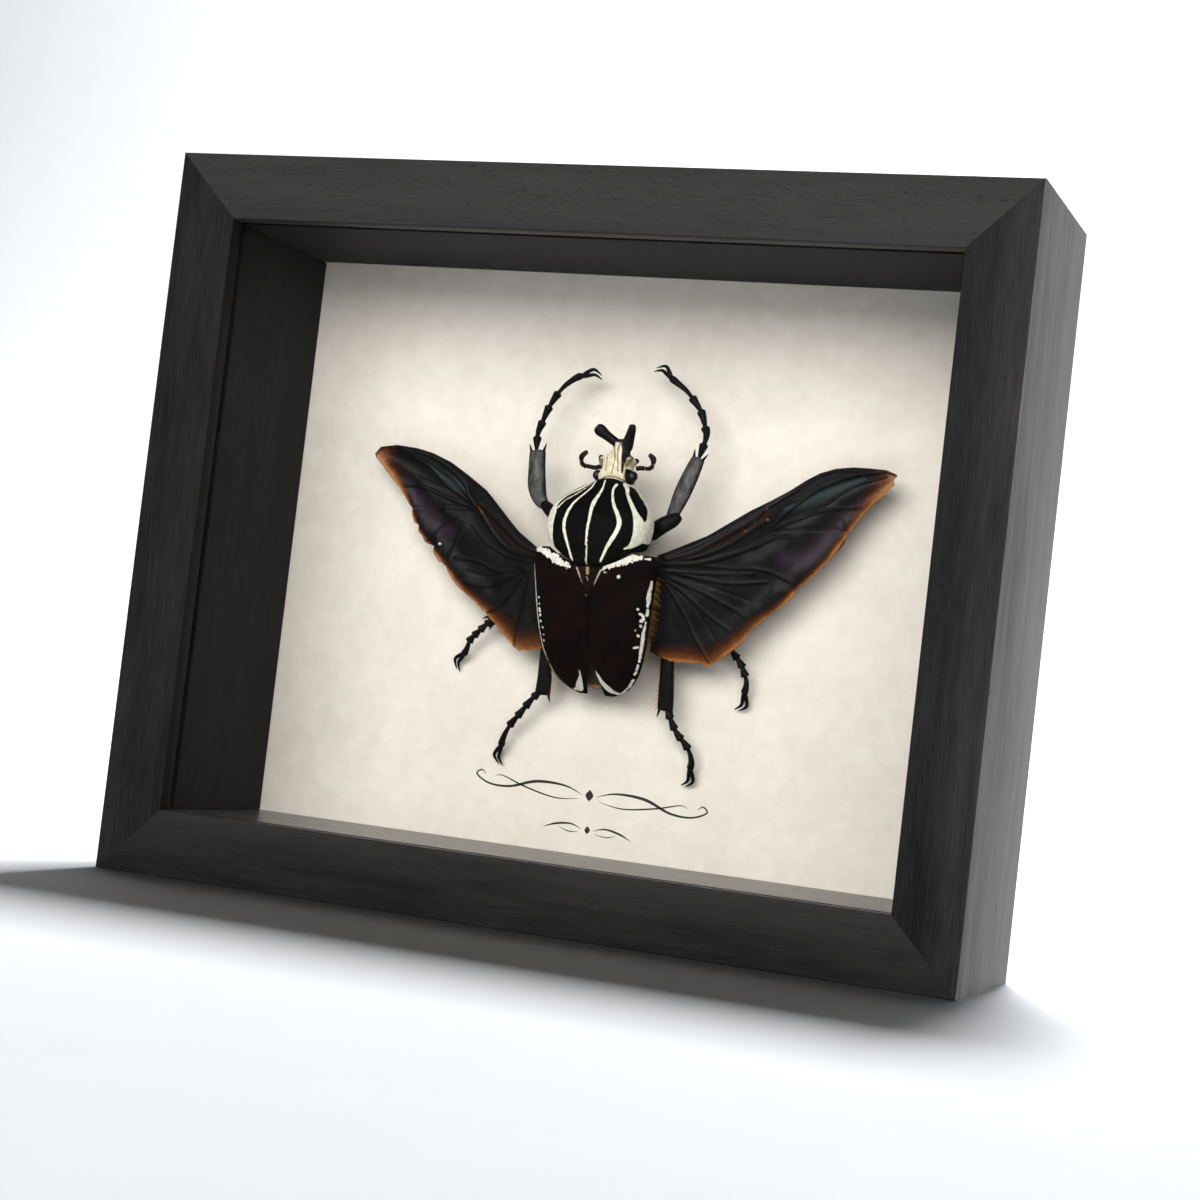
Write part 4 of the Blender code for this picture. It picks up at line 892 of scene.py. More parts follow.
# Where the shell is black, streaked with brown, and dusky.
HEAD_BLACK = [
    [(-0.4, 152.9, .5), (-1.4, 154.4, 1.7), (-3.2, 156.0, 2.4), (-5.6, 158.0, 3.0)],
    [(-0.8, 155.4, 1.3), (0.8, 154.7, .9), (2.4, 154.8, 1.1), (4.0, 155.4, 1.6)],
    [(4.2, 153.2, 2.0), (4.8, 155.0, 2.3), (5.4, 157.0, 2.5), (6.0, 159.8, 2.6)],
    [(4.5, 152.8, 2.0), (4.3, 151.2, 1.6), (3.6, 149.6, .95), (3.35, 147.6, .6), (3.4, 145.4, .4),
     (3.6, 144.2, .25)],
    [(4.3, 150.8, .9), (5.7, 150.0, .8), (7.2, 149.3, .9), (7.5, 147.8, .6), (6.6, 146.3, .5),
     (7.0, 145.4, .9)],
    [(4.6, 145.4, .3), (5.3, 144.6, .9), (6.0, 143.0, 1.5), (6.3, 141.6, 1.2)],
    [(-5.2, 149.6, .5), (-6.3, 149.5, .7), (-6.7, 147.9, .4), (-6.1, 146.2, .4), (-6.4, 145.6, .8)],
    [(-5.6, 144.8, .3), (-5.3, 142.6, .35), (-4.9, 141.0, .3)],
]
HEAD_BROWN = [
    [(-0.3, 154.0, .8), (0.0, 151.8, .7), (0.5, 149.6, .5), (0.5, 147.2, .4), (0.2, 143.6, .5)],
    [(1.9, 153.6, .8), (1.3, 151.2, .6), (1.5, 148.6, .45), (2.2, 144.6, .5)],
    [(-2.6, 149.8, .5), (-2.3, 147.4, .5), (-2.2, 144.8, .5)],
    [(-1.2, 152.8, .6), (-1.5, 150.4, .6)], [(-4.6, 148.2, .9), (-3.8, 145.4, .6)],
    [(-6.0, 149.6, 1.0), (-5.4, 147.4, .8)], [(4.4, 146.4, .8), (5.4, 149.2, .8)],
    [(-3.4, 141.6, .8), (-1.0, 142.6, .5), (1.6, 142.6, .5), (4.8, 141.6, .8)],
]
HEAD_DUSK = [[(4.2, 147.6, 1.8), (6.2, 147.8, 2.0)], [(-5.4, 147.9, 1.6), (-4.8, 145.6, 1.3)],
             [(4.9, 144.6, 1.4), (5.0, 141.6, 1.4)]]


def limb_shape(stations):
    """An oval limb through stations of (u, z, h, half width, half height)."""
    def shape(across, along):
        here = flow(stations, along)
        before = Vector(flow(stations, max(along - 0.02, 0))[:3])
        after = Vector(flow(stations, min(along + 0.02, 1))[:3])
        run = (after - before).normalized()
        side = run.cross(Vector((0, 0, 1))).normalized()
        rise = side.cross(run)
        turn = across * 2 * math.pi
        close = rounded(along, 0.10)
        offset = side * (math.cos(turn) * here[3] * close) + rise * (math.sin(turn) * here[4] * close)
        return spot(*(Vector(here[:3]) + offset))
    return shape


def head_shape(across, along):
    row = flow(HEAD_ROWS, along)
    u, z, h, side, rise = body_point(row, across * 2 * math.pi, 2.2)
    close = rounded(along, 0.06)
    return spot(row[1] + (u - row[1]) * close, z, row[4] + (h - row[4]) * close)


def grow_together(piece, grain, rounds):
    """Melts overlapping shells into one skin, grain apart."""
    skin = piece.modifiers.new("skin", "REMESH")
    skin.mode = "VOXEL"
    skin.voxel_size = grain * MM
    soft = piece.modifiers.new("soft", "SMOOTH")
    soft.factor = 0.5
    soft.iterations = rounds
    bpy.context.view_layer.objects.active = piece
    bpy.ops.object.modifier_apply(modifier=skin.name)
    bpy.ops.object.modifier_apply(modifier=soft.name)
    piece.data.shade_smooth()


lumps = [bent_sheet("head_lump", 40, 60, head_shape, closed=True)]
for number, stations in enumerate(HORN_LIMBS):
    lumps.append(bent_sheet(f"horn_lump_{number}", 28, 44, limb_shape(stations), closed=True))
head = join_pieces("head_with_horn", lumps)
grow_together(head, HEAD_GRAIN, SMOOTH_ROUNDS)
points = beetle_points(head)
keep_measure(head, "black", paint_edges(points, HEAD_BLACK))
keep_measure(head, "brown", paint_soft(points, HEAD_BROWN))
keep_measure(head, "dusk", paint_soft(points, HEAD_DUSK))
bone = Finish("horn_shell", Specular_IOR_Level=0.12)
fine = bone.cloud(0.5, (1, 1, 2.6), detail=5, rough=0.7)
cream = bone.blend(bone.step(bone.cloud(1.8, detail=4), 0.35, 0.68), tone(214, 204, 168),
                   tone(240, 234, 211))
cream = bone.blend(bone.step(bone.measure("dusk"), 0.1, 0.7), cream, tone(152, 145, 112))
brown = bone.step(bone.calc("ADD", bone.measure("brown"), bone.calc("MULTIPLY_ADD", fine, 0.9, -0.5)),
                  0.25, 0.85)
streaked = bone.blend(bone.calc("MULTIPLY", brown, 0.85), cream, tone(92, 56, 34))
black = bone.step(bone.calc("MULTIPLY_ADD", fine, 0.5, bone.calc("ADD", bone.measure("black"), -0.25)),
                  -0.1, 0.12)
bone.set(Base_Color=bone.blend(black, streaked, tone(17, 14, 13)))
bone.set(Roughness=bone.calc("MULTIPLY_ADD", black, -0.2, bone.range(fine, 0.42, 0.58)))
bone.relief(fine, 0.05)
bone.relief(bone.cells(0.4), 0.03)
put_on(head, bone, "bone", "head")

eyes = []
for name, centre in EYES.items():
    let_go()
    bpy.ops.mesh.primitive_uv_sphere_add(segments=36, ring_count=24, radius=EYE_ROUND * MM,
                                         location=spot(*centre))
    eye = bpy.context.object
    eye.name = f"eye_{name}"
    settle(eye)
    eye.data.shade_smooth()
    eyes.append(eye)
eyes = join_pieces("eyes", eyes)
dark_eye = Finish("eye", Specular_IOR_Level=0.3, Coat_Weight=0.12, Coat_Roughness=0.1)
dark_eye.set(Base_Color=dark_eye.blend(dark_eye.step(dark_eye.cloud(1.2), 0.4, 0.65),
                                         tone(16, 9, 7), tone(36, 20, 12)))
dark_eye.set(Roughness=dark_eye.range(dark_eye.cells(0.16), 0.2, 0.4))
dark_eye.relief(dark_eye.cells(0.16), 0.012)
put_on(eyes, dark_eye, "bone")


# The antennae: a stalk, a chain of small beads and a club of three flat leaves each,
# glossy dark brown and finely haired.

ANTENNA_LINES = {
    "left": [(-5.2, 146.2, 15.4), (-7.6, 145.6, 15.0), (-9.6, 145.9, 14.7), (-11.4, 146.0, 14.5),
             (-12.4, 146.6, 14.5), (-12.8, 147.5, 14.5)],
    "right": [(6.5, 146.2, 15.4), (8.0, 146.6, 15.0), (9.4, 146.5, 14.7), (10.8, 146.7, 14.5),
              (11.5, 147.2, 14.5), (11.8, 148.0, 14.5)],
}
CLUB_TIPS = {"left": (-11.0, 150.9), "right": (10.1, 151.4)}
CLUB_BENDS = {"left": (-12.7, 149.1), "right": (11.7, 149.8)}
CLUB_FANS = (-0.45, 0.0, 0.45)


def bead_row(line, beads, radius, waist):
    """Stations of a chain of beads along a line of (u, z, h)."""
    rows = []
    for number in range(beads):
        for share, wide in ((0.1, waist), (0.5, 1.0), (0.9, waist)):
            u, z, h = flow(line, (number + share) / beads)
            rows.append((u, z, h, radius * wide, radius * wide))
    return rows


horn_brown = Finish("antenna_shell", Specular_IOR_Level=0.1)
horn_brown.set(Base_Color=horn_brown.blend(horn_brown.step(horn_brown.cloud(0.9), 0.35, 0.7),
                                           tone(14, 10, 9), tone(38, 24, 18)))
horn_brown.set(Roughness=horn_brown.range(horn_brown.cloud(0.3), 0.25, 0.45))
horn_brown.relief(horn_brown.cells(0.2), 0.02)
for side, line in ANTENNA_LINES.items():
    stalk = [(*point, 0.8 - 0.05 * number, 0.7) for number, point in enumerate(line[:3])]
    parts = [bent_sheet("stalk", 16, 24, limb_shape(stalk), closed=True)]
    chain = bead_row(line[2:], 5, 0.85, 0.7)
    parts.append(bent_sheet("chain", 16, 60, limb_shape(chain), closed=True))
    root = line[-1]
    for number, fan in enumerate(CLUB_FANS):
        bend = (CLUB_BENDS[side][0] + fan * 0.5, CLUB_BENDS[side][1], 14.5 + fan)
        tip = (CLUB_TIPS[side][0] + fan * 0.3, CLUB_TIPS[side][1] - abs(fan) * 0.6, 14.5 + fan * 1.2)
        leaf = [(*root, 0.6, 0.35), (*bend, 0.95, 0.4), (*tip, 0.55, 0.25)]
        parts.append(bent_sheet(f"leaf_{number}", 20, 24, limb_shape(leaf), closed=True))
    antenna = join_pieces(f"feeler_{side}", parts)
    put_on(antenna, horn_brown, "leg", f"antenna_{side}")


# The hind wings: one folded skin each, stiffened by tube-like veins that run out from the
# shoulder. They are charcoal, thin and horny, amber and ragged at the rear margin. Each
# edge runs from the body to the tip as (u, z), and the wing's height falls towards the tip.

WING_LEADS = {
    -1: [(-16.9, 115.6), (-20.0, 117.0), (-23.2, 117.9), (-31.0, 122.8), (-35.6, 126.9),
         (-40.3, 131.3), (-45.0, 135.5), (-52.4, 140.0), (-59.7, 144.0), (-66.9, 146.6),
         (-73.3, 147.9), (-81.1, 148.5), (-87.3, 147.5), (-89.3, 145.1)],
    1: [(16.9, 116.4), (18.2, 119.2), (20.1, 120.0), (26.2, 123.2), (33.3, 126.9), (39.6, 131.5),
        (46.0, 136.1), (52.4, 140.0), (58.1, 143.9), (62.3, 147.2), (66.4, 149.8), (71.2, 151.6),
        (76.7, 152.5), (82.3, 152.6), (86.7, 152.5), (90.1, 151.4)],
}
WING_TRAILS = {
    -1: [(-17.2, 87.2), (-20.9, 85.6), (-24.3, 84.9), (-28.7, 84.6), (-35.1, 89.8), (-41.0, 95.1),
         (-46.7, 99.3), (-53.2, 103.4), (-57.0, 107.5), (-57.9, 109.3), (-61.6, 111.6),
         (-63.5, 113.9), (-63.2, 116.0), (-67.0, 116.9), (-68.3, 118.9), (-69.9, 120.2),
         (-69.9, 122.4), (-71.9, 123.4), (-72.9, 125.7), (-73.1, 127.8), (-75.5, 130.4),
         (-79.1, 134.6), (-83.7, 138.8), (-86.4, 141.4), (-88.8, 143.6)],
    1: [(17.2, 88.6), (24.3, 86.2), (27.9, 86.4), (33.8, 86.5), (37.1, 86.0), (40.1, 88.3),
        (43.8, 91.5), (46.4, 94.0), (49.4, 98.8), (54.6, 103.9), (60.9, 109.5), (62.5, 111.9),
        (62.2, 113.0), (64.3, 114.4), (68.9, 119.3), (72.9, 124.7), (75.9, 128.3), (76.7, 131.2),
        (75.4, 132.0), (77.1, 132.4), (80.0, 136.6), (81.4, 138.9), (83.4, 141.3), (87.4, 145.6),
        (89.7, 148.0), (89.2, 149.7), (90.2, 150.7)],
}
# Each vein: its half width, how far it stands proud, and its line.
WING_VEINS = {
    -1: [
        (.62, .55, [(-24.2, 116.6), (-30.6, 119.1), (-35.2, 122.9), (-41.3, 127.2), (-47.2, 130.3)]),
        (.50, .40, [(-24.7, 115.4), (-32.8, 116.0), (-40.3, 120.7), (-46.2, 127.5)]),
        (.40, .40, [(-49.4, 130.2), (-53.2, 134.1), (-57.9, 138.0), (-63.8, 141.2), (-70.5, 144.4),
                    (-78.5, 147.3)]),
        (.34, .36, [(-49.5, 130.7), (-52.1, 133.6), (-53.7, 137.1), (-58.4, 141.0), (-64.3, 144.2),
                    (-70.8, 146.2), (-76.5, 147.4)]),
        (.34, .36, [(-50.5, 130.7), (-56.4, 133.9), (-62.4, 137.7), (-67.9, 142.1), (-75.2, 145.3)]),
        (.38, .36, [(-50.0, 129.5), (-59.6, 132.2), (-68.3, 134.9), (-76.9, 135.3)]),
        (.30, .28, [(-55.2, 125.9), (-61.1, 122.8), (-63.1, 120.4), (-66.3, 117.2)]),
        (.32, .30, [(-52.5, 124.6), (-55.3, 118.0), (-57.6, 112.5)]),
        (.36, .34, [(-26.2, 113.6), (-34.9, 114.7), (-42.8, 118.2), (-49.1, 123.7)]),
        (.36, .34, [(-27.1, 112.5), (-36.7, 109.4), (-46.5, 112.2), (-54.8, 112.7)]),
        (.34, .32, [(-27.5, 111.3), (-36.2, 105.9), (-44.1, 104.1), (-50.6, 105.4)]),
        (.34, .32, [(-26.8, 110.8), (-32.0, 102.8), (-36.9, 97.7), (-41.0, 95.7)]),
        (.30, .28, [(-25.5, 110.3), (-27.2, 100.9), (-29.5, 90.2), (-29.9, 85.6)]),
    ],
    1: [
        (.45, .40, [(20.4, 118.6), (29.1, 122.6), (39.9, 129.3), (50.4, 137.0), (55.5, 140.9),
                    (59.0, 143.6)]),
        (.60, .55, [(21.0, 118.0), (29.4, 121.2), (35.8, 125.3), (43.2, 130.4), (48.4, 134.6),
                    (50.3, 137.1)]),
        (.42, .40, [(21.1, 117.4), (31.3, 120.1), (39.4, 124.2), (45.7, 129.0), (50.9, 133.2)]),
        (.50, .45, [(20.4, 116.6), (31.4, 118.0), (40.8, 121.7), (48.4, 125.2), (53.6, 128.6)]),
        (.42, .42, [(53.7, 131.8), (56.0, 135.4), (59.5, 138.6), (64.1, 143.0), (71.5, 147.5),
                    (80.2, 150.8), (87.9, 152.0)]),
        (.34, .34, [(53.7, 131.5), (59.0, 134.5), (64.8, 137.9), (70.0, 141.2), (77.2, 146.9),
                    (86.9, 150.5)]),
        (.34, .34, [(53.7, 131.2), (59.0, 134.0), (67.0, 137.6), (73.5, 139.3), (80.1, 140.0)]),
        (.32, .32, [(56.7, 140.5), (60.0, 140.3), (63.5, 143.5), (69.2, 146.8), (76.7, 149.8)]),
        (.30, .28, [(47.9, 125.6), (54.5, 128.5), (59.1, 128.9), (60.7, 129.1)]),
        (.36, .34, [(31.5, 117.4), (41.3, 117.5), (48.0, 117.9), (53.1, 117.6), (57.1, 116.4),
                    (61.7, 114.6)]),
        (.30, .28, [(21.1, 114.5), (29.8, 114.8), (38.4, 115.3), (47.0, 116.2), (49.0, 116.7)]),
        (.34, .32, [(24.2, 114.2), (31.6, 113.3), (41.3, 112.6), (52.5, 114.3)]),
        (.36, .34, [(22.6, 112.3), (32.0, 109.4), (40.9, 105.8), (47.9, 102.6)]),
        (.34, .32, [(21.8, 111.2), (29.1, 106.9), (36.5, 101.4), (42.5, 98.1)]),
        (.34, .32, [(21.3, 110.0), (26.6, 103.2), (31.4, 95.2), (36.8, 87.3)]),
    ],
}
# Folds that sink in between the veins.
WING_CREASES = {
    -1: [[(-49.3, 129.6), (-59.2, 129.5), (-68.0, 128.6), (-72.4, 128.1)],
         [(-49.2, 128.1), (-59.0, 128.3), (-67.2, 127.8), (-72.2, 126.6)],
         [(-30.0, 112.0), (-40.0, 107.6), (-50.0, 108.6)],
         [(-28.4, 108.0), (-35.0, 100.4), (-41.0, 98.0)],
         [(-54.0, 132.4), (-62.0, 135.4), (-72.0, 138.4)]],
    1: [[(53.3, 130.3), (59.4, 131.2), (64.8, 132.4), (70.3, 132.8), (76.0, 132.2)],
        [(53.4, 129.5), (59.9, 130.7), (67.6, 132.0), (75.4, 131.9)],
        [(54.8, 117.2), (54.2, 111.6), (52.7, 108.1), (52.5, 103.6)],
        [(24.0, 113.2), (36.0, 110.8), (48.0, 107.8)], [(23.0, 110.6), (31.0, 103.6), (38.0, 95.0)]],
}
# Where the skin has a tint, as brush strokes. The green and plum are painted sheen, the
# shimmer of the thin skin laid into its colour, and the gold-brown spots are a painted
# highlight on the fold joints.
WING_GREEN_SHEEN = {
    -1: [[(-53.0, 134.4, .8), (-57.0, 136.4, 2.6), (-61.4, 138.6, 1.4), (-68.0, 142.8, .8)]],
    1: [[(56.4, 137.4, .8), (60.4, 139.0, 1.8), (66.0, 142.4, 1.9), (73.0, 146.0, 1.8),
         (80.0, 149.0, 1.1)]],
}
WING_PLUM_SHEEN = {
    -1: [[(-58.0, 121.0, 3.0), (-64.0, 124.0, 4.0), (-70.0, 130.0, 4.0), (-77.0, 137.0, 3.0)]],
    1: [[(58.0, 122.0, 4.0), (66.0, 124.0, 4.5), (74.0, 134.0, 4.0), (84.0, 144.6, 3.2)]],
}
WING_RED = {
    -1: [[(-24.0, 115.9, .5), (-31.0, 117.6, .8), (-38.0, 122.0, .9), (-46.0, 128.6, .5)]],
    1: [[(22.2, 118.2, .6), (31.0, 121.6, 1.1), (38.0, 125.6, 1.3), (46.0, 131.0, 1.3),
         (51.2, 135.4, 1.6)]],
}
# Painted highlight: gold-brown spots on the fold joints, where the wings catch the light.
WING_GLINT_PAINT = {
    -1: [[(-47.6, 130.0, .5), (-46.0, 128.2, .5)]],
    1: [[(51.0, 137.1, .7)], [(51.4, 133.7, .6)], [(44.8, 129.5, .5)], [(47.4, 132.8, .45)]],
}
# Where the skin fades to amber, half width being how far it reaches in from the margin.
WING_AMBER = {
    -1: [[(-89.6, 145.0, 10.5), (-84.0, 139.4, 6.6), (-77.0, 132.6, 3.0), (-73.0, 126.0, 2.2),
          (-70.0, 120.8, 2.0), (-63.6, 114.6, 2.0), (-57.6, 108.4, 2.6), (-50.0, 101.2, 3.4),
          (-43.0, 96.4, 4.6), (-35.0, 89.8, 6.8), (-28.7, 84.6, 8.6), (-21.0, 84.8, 9.4)],
         [(-80.0, 149.6, 2.0), (-86.0, 148.6, 4.0), (-90.0, 145.6, 8.0)]],
    1: [[(90.6, 150.9, 10.5), (86.5, 145.0, 7.0), (80.0, 137.0, 4.0), (76.2, 131.0, 2.6),
         (70.0, 121.0, 2.2), (63.6, 113.8, 2.2), (57.0, 105.8, 2.8), (50.0, 99.2, 4.2),
         (44.0, 91.6, 6.2), (38.0, 86.2, 7.8), (31.0, 86.2, 7.4), (22.0, 86.0, 6.4)],
        [(80.0, 153.6, 1.6), (86.0, 153.2, 3.6), (90.6, 151.6, 7.0)]],
}
WING_TINTS_AND_PAINTED_LIGHT = {"amber": WING_AMBER, "green": WING_GREEN_SHEEN, "plum": WING_PLUM_SHEEN, "red": WING_RED,
              "glint_paint": WING_GLINT_PAINT}
WING_ROOT_HEIGHT = 17.6
WING_TRAIL_HEIGHT = 11.9
WING_TIP_HEIGHT = 9.0
WING_SKIN = 0.22
RAGGED = 0.5


def along_line(points, share):
    """The point a share of the way along a line, by its length."""
    lengths = [math.dist(a, b) for a, b in zip(points, points[1:])]
    left = share * sum(lengths)
    for length, a, b in zip(lengths, points, points[1:]):
        if left <= length + 1e-9:
            return [p + (q - p) * left / length for p, q in zip(a, b)]
        left -= length
    return list(points[-1])


def thin_strokes(lines, half):
    return [[(*point[:2], half) for point in line] for line in lines]


def wing_shape(side):
    lead, trail = WING_LEADS[side], WING_TRAILS[side]

    def shape(across, along):
        reach = across if side > 0 else 1 - across
        front = along_line(lead, reach)
        back = along_line(trail, reach)
        chord = 1 - along
        tear = noise.noise(Vector((reach * 60, 3.1 * side, 0))) * RAGGED * bell(along, 0.03)
        u = front[0] + (back[0] - front[0]) * chord
        z = front[1] + (back[1] - front[1]) * chord + tear
        h = WING_ROOT_HEIGHT + (WING_TIP_HEIGHT - WING_ROOT_HEIGHT) * reach ** 0.9
        h += (WING_TRAIL_HEIGHT - WING_ROOT_HEIGHT) * chord * (1 - reach)
        h += 0.4 * math.sin(chord * math.pi * 5) * math.sin(reach * math.pi)
        h += 0.16 * noise.noise(Vector((u * 0.22, z * 0.22, 2.0)))
        return spot(u, z, h)
    return shape


def make_wing(name, side, finish):
    wing = bent_sheet(name, 310, 145, wing_shape(side))
    points = beetle_points(wing)
    plan = points[:, :2]
    rise = np.zeros(len(plan))
    veins = np.zeros(len(plan))
    for half, proud, line in WING_VEINS[side]:
        soft = paint_soft(plan, [[(*point, half * 2.2) for point in line]])
        rise = np.maximum(rise, proud * np.sin(np.clip(soft * 1.25, 0, 1) * math.pi / 2) ** 2)
        veins = np.maximum(veins, soft)
    edge = paint_soft(plan, [[(*point, 1.5) for point in WING_LEADS[side]]])
    rise = np.maximum(rise, 0.45 * edge ** 0.5)
    veins = np.maximum(veins, edge)
    rise -= 0.22 * paint_soft(plan, thin_strokes(WING_CREASES[side], 0.7))
    for vert, lift in zip(wing.data.vertices, rise):
        vert.co.y -= lift * MM
    keep_measure(wing, "vein", veins)
    for mark, strokes in WING_TINTS_AND_PAINTED_LIGHT.items():
        keep_measure(wing, mark, paint_soft(plan, strokes[side]))
    thicken(wing, WING_SKIN)
    put_on(wing, finish, "wing_membrane", name.replace("hind_wing", "wing"))


skin = Finish("wing_membrane", Specular_IOR_Level=0.09)
cloudy = skin.cloud(3.5, detail=5, rough=0.6)
fine = skin.cloud(0.5, detail=5, rough=0.7)
ground = skin.blend(skin.step(cloudy, 0.35, 0.7), tone(9, 9, 10), tone(22, 21, 21))
# Painted sheen: green and plum where the thin skin shimmers.
ground = skin.blend(skin.calc("MULTIPLY", skin.measure("green"), 0.8), ground, tone(56, 72, 71))
ground = skin.blend(skin.calc("MULTIPLY", skin.measure("plum"), 0.75), ground, tone(56, 43, 55))
ground = skin.blend(skin.calc("MULTIPLY", skin.measure("red"), 0.75), ground, tone(52, 24, 17))
# Painted highlight on the fold joints, in gold-brown.
ground = skin.blend(skin.step(skin.measure("glint_paint"), 0.1, 0.7), ground, tone(150, 96, 40))
drift = skin.calc("MULTIPLY_ADD", skin.cloud(5.0, detail=5, rough=0.65), 0.5, -0.25)
amber = skin.calc("ADD", skin.measure("amber"), skin.calc("MULTIPLY", drift, skin.step(
    skin.measure("amber"), 0.0, 0.3)))
stained = skin.blend(skin.step(amber, 0.06, 0.5), ground, tone(52, 22, 10))
stained = skin.blend(skin.step(amber, 0.4, 0.8), stained, tone(112, 60, 20))
stained = skin.blend(skin.step(amber, 0.72, 1.0), stained, tone(186, 122, 58))
vein_line = skin.step(skin.measure("vein"), 0.15, 0.7)
skin.set(Base_Color=skin.blend(skin.calc("MULTIPLY", vein_line, 0.75), stained, tone(12, 9, 8)))
skin.set(Roughness=skin.range(fine, 0.22, 0.40))
thin = skin.calc("MULTIPLY", skin.step(amber, 0.4, 1.0), skin.calc("SUBTRACT", 1.0, vein_line))
skin.set(Alpha=skin.calc("SUBTRACT", 1.0, skin.calc("MULTIPLY", thin, 0.35)))
skin.relief(cloudy, 0.08)
skin.relief(fine, 0.04)
skin.relief(skin.cloud(0.9, (1, 1, 4), detail=4, turn=(0, 40, 0)), 0.05)
for name, side in (("hind_wing_left", -1), ("hind_wing_right", 1)):
    make_wing(name, side, skin)


# The legs: glossy black thighs and feet, and flattened shins, grey on the front legs and
# black on the others, with a black keel along both edges and two spurs at the end. Each
# foot is a chain of five flared joints with two hooks.
# Stations are (u, z, h, half width, half height), foot points (u, z, h).

LEGS = {
    "front_leg_left": {
        "thigh": [(-13.0, 125.5, 14.0, 2.4, 2.0), (-18.2, 128.6, 15.8, 2.3, 2.0),
                  (-22.6, 131.6, 14.8, 1.9, 1.8), (-24.2, 133.2, 14.2, 1.2, 1.2)],
        "shin": [(-22.9, 131.6, 14.2, 1.3, 1.0), (-25.6, 134.0, 14.0, 2.2, 1.3),
                 (-27.7, 138.5, 13.2, 2.9, 1.4), (-28.7, 144.5, 12.6, 2.7, 1.4),
                 (-29.4, 150.4, 12.0, 2.6, 1.2)],
        "foot": [(-29.9, 149.6, 11.9), (-30.5, 155.5, 11.0), (-29.5, 159.2, 11.0),
                 (-27.9, 164.5, 10.5), (-25.5, 169.4, 10.0), (-22.7, 172.8, 10.0),
                 (-19.2, 175.4, 9.5), (-17.5, 175.8, 9.0)],
        "curl": -1,
    },
    "front_leg_right": {
        "thigh": [(13.0, 125.5, 14.0, 2.6, 2.0), (17.6, 128.6, 15.8, 2.6, 2.1),
                  (21.0, 131.0, 14.8, 2.3, 1.9), (23.0, 132.6, 14.2, 1.2, 1.2)],
        "shin": [(19.4, 130.6, 14.2, 1.4, 1.1), (20.8, 134.2, 14.0, 2.0, 1.3),
                 (22.6, 140.2, 13.4, 2.6, 1.5), (24.4, 146.0, 12.8, 2.5, 1.5),
                 (26.2, 151.8, 12.2, 2.0, 1.2)],
        "foot": [(26.0, 151.0, 12.0), (27.4, 158.5, 11.0), (26.8, 161.2, 11.0),
                 (24.8, 166.1, 10.5), (21.9, 169.7, 10.0), (18.6, 173.1, 10.0),
                 (14.8, 175.6, 9.5), (12.0, 177.4, 9.0)],
        "curl": 1,
    },
    "middle_leg_left": {
        "thigh": [(-12.0, 106.0, 7.0, 2.4, 2.2), (-20.0, 105.0, 8.0, 2.4, 2.2),
                  (-29.0, 103.0, 8.6, 2.0, 1.9), (-31.0, 102.4, 8.6, 1.3, 1.3)],
        "shin": [(-29.4, 103.2, 8.4, 1.3, 1.3), (-33.4, 100.0, 8.0, 1.8, 1.5),
                 (-38.0, 96.2, 7.0, 1.9, 1.4), (-41.8, 93.2, 6.0, 1.9, 1.2)],
        "foot": [(-40.8, 94.0, 6.2), (-44.8, 90.0, 6.0), (-48.5, 86.3, 5.0), (-49.7, 83.4, 4.0),
                 (-51.2, 81.2, 3.0)],
        "curl": 1,
    },
    "middle_leg_right": {
        "thigh": [(12.0, 106.0, 7.0, 2.4, 2.2), (20.0, 105.0, 8.0, 2.4, 2.2),
                  (28.0, 103.0, 8.6, 2.0, 1.9), (30.0, 102.2, 8.6, 1.3, 1.3)],
        "shin": [(28.4, 103.0, 8.4, 1.3, 1.3), (32.6, 99.8, 8.0, 1.8, 1.5),
                 (37.2, 96.2, 7.0, 1.9, 1.4), (41.0, 93.2, 6.0, 1.9, 1.2)],
        "foot": [(40.2, 94.0, 6.2), (45.0, 89.0, 6.0), (46.6, 86.0, 5.0), (47.8, 82.2, 4.0),
                 (47.0, 78.6, 3.0)],
        "curl": -1,
    },
    "hind_leg_left": {
        "thigh": [(-10.0, 96.0, 6.0, 2.6, 2.2), (-15.5, 98.4, 7.4, 2.6, 2.2),
                  (-19.6, 99.4, 8.2, 2.1, 1.9), (-21.4, 99.0, 8.4, 1.3, 1.3)],
        "shin": [(-20.2, 100.0, 8.4, 1.4, 1.3), (-20.0, 92.0, 8.6, 1.8, 1.4),
                 (-19.5, 83.0, 8.5, 1.9, 1.4), (-19.2, 76.0, 8.1, 2.3, 1.3),
                 (-19.4, 71.0, 7.8, 2.5, 1.2)],
        "foot": [(-19.6, 72.6, 7.8), (-22.9, 69.8, 7.0), (-27.2, 64.4, 6.0), (-30.9, 59.7, 5.0),
                 (-33.1, 55.2, 4.0), (-33.8, 52.4, 3.0)],
        "curl": 1,
    },
    "hind_leg_right": {
        "thigh": [(10.0, 96.0, 6.0, 2.6, 2.2), (15.5, 99.0, 7.4, 2.6, 2.2),
                  (20.0, 100.6, 8.2, 2.1, 1.9), (22.0, 100.4, 8.4, 1.3, 1.3)],
        "shin": [(20.8, 101.4, 8.4, 1.4, 1.3), (21.6, 93.0, 8.6, 1.9, 1.4),
                 (22.4, 84.0, 8.5, 2.1, 1.5), (22.9, 76.0, 8.2, 2.4, 1.4),
                 (23.2, 70.4, 7.8, 2.4, 1.2)],
        "foot": [(23.4, 71.6, 7.8), (24.9, 68.2, 7.0), (27.0, 64.2, 6.0), (30.9, 59.8, 5.0),
                 (32.5, 55.8, 4.0), (31.9, 52.6, 3.0)],
        "curl": -1,
    },
}
FOOT_JOINTS = (0.0, 0.17, 0.34, 0.51, 0.68, 1.0)     # the shares of the foot where joints end
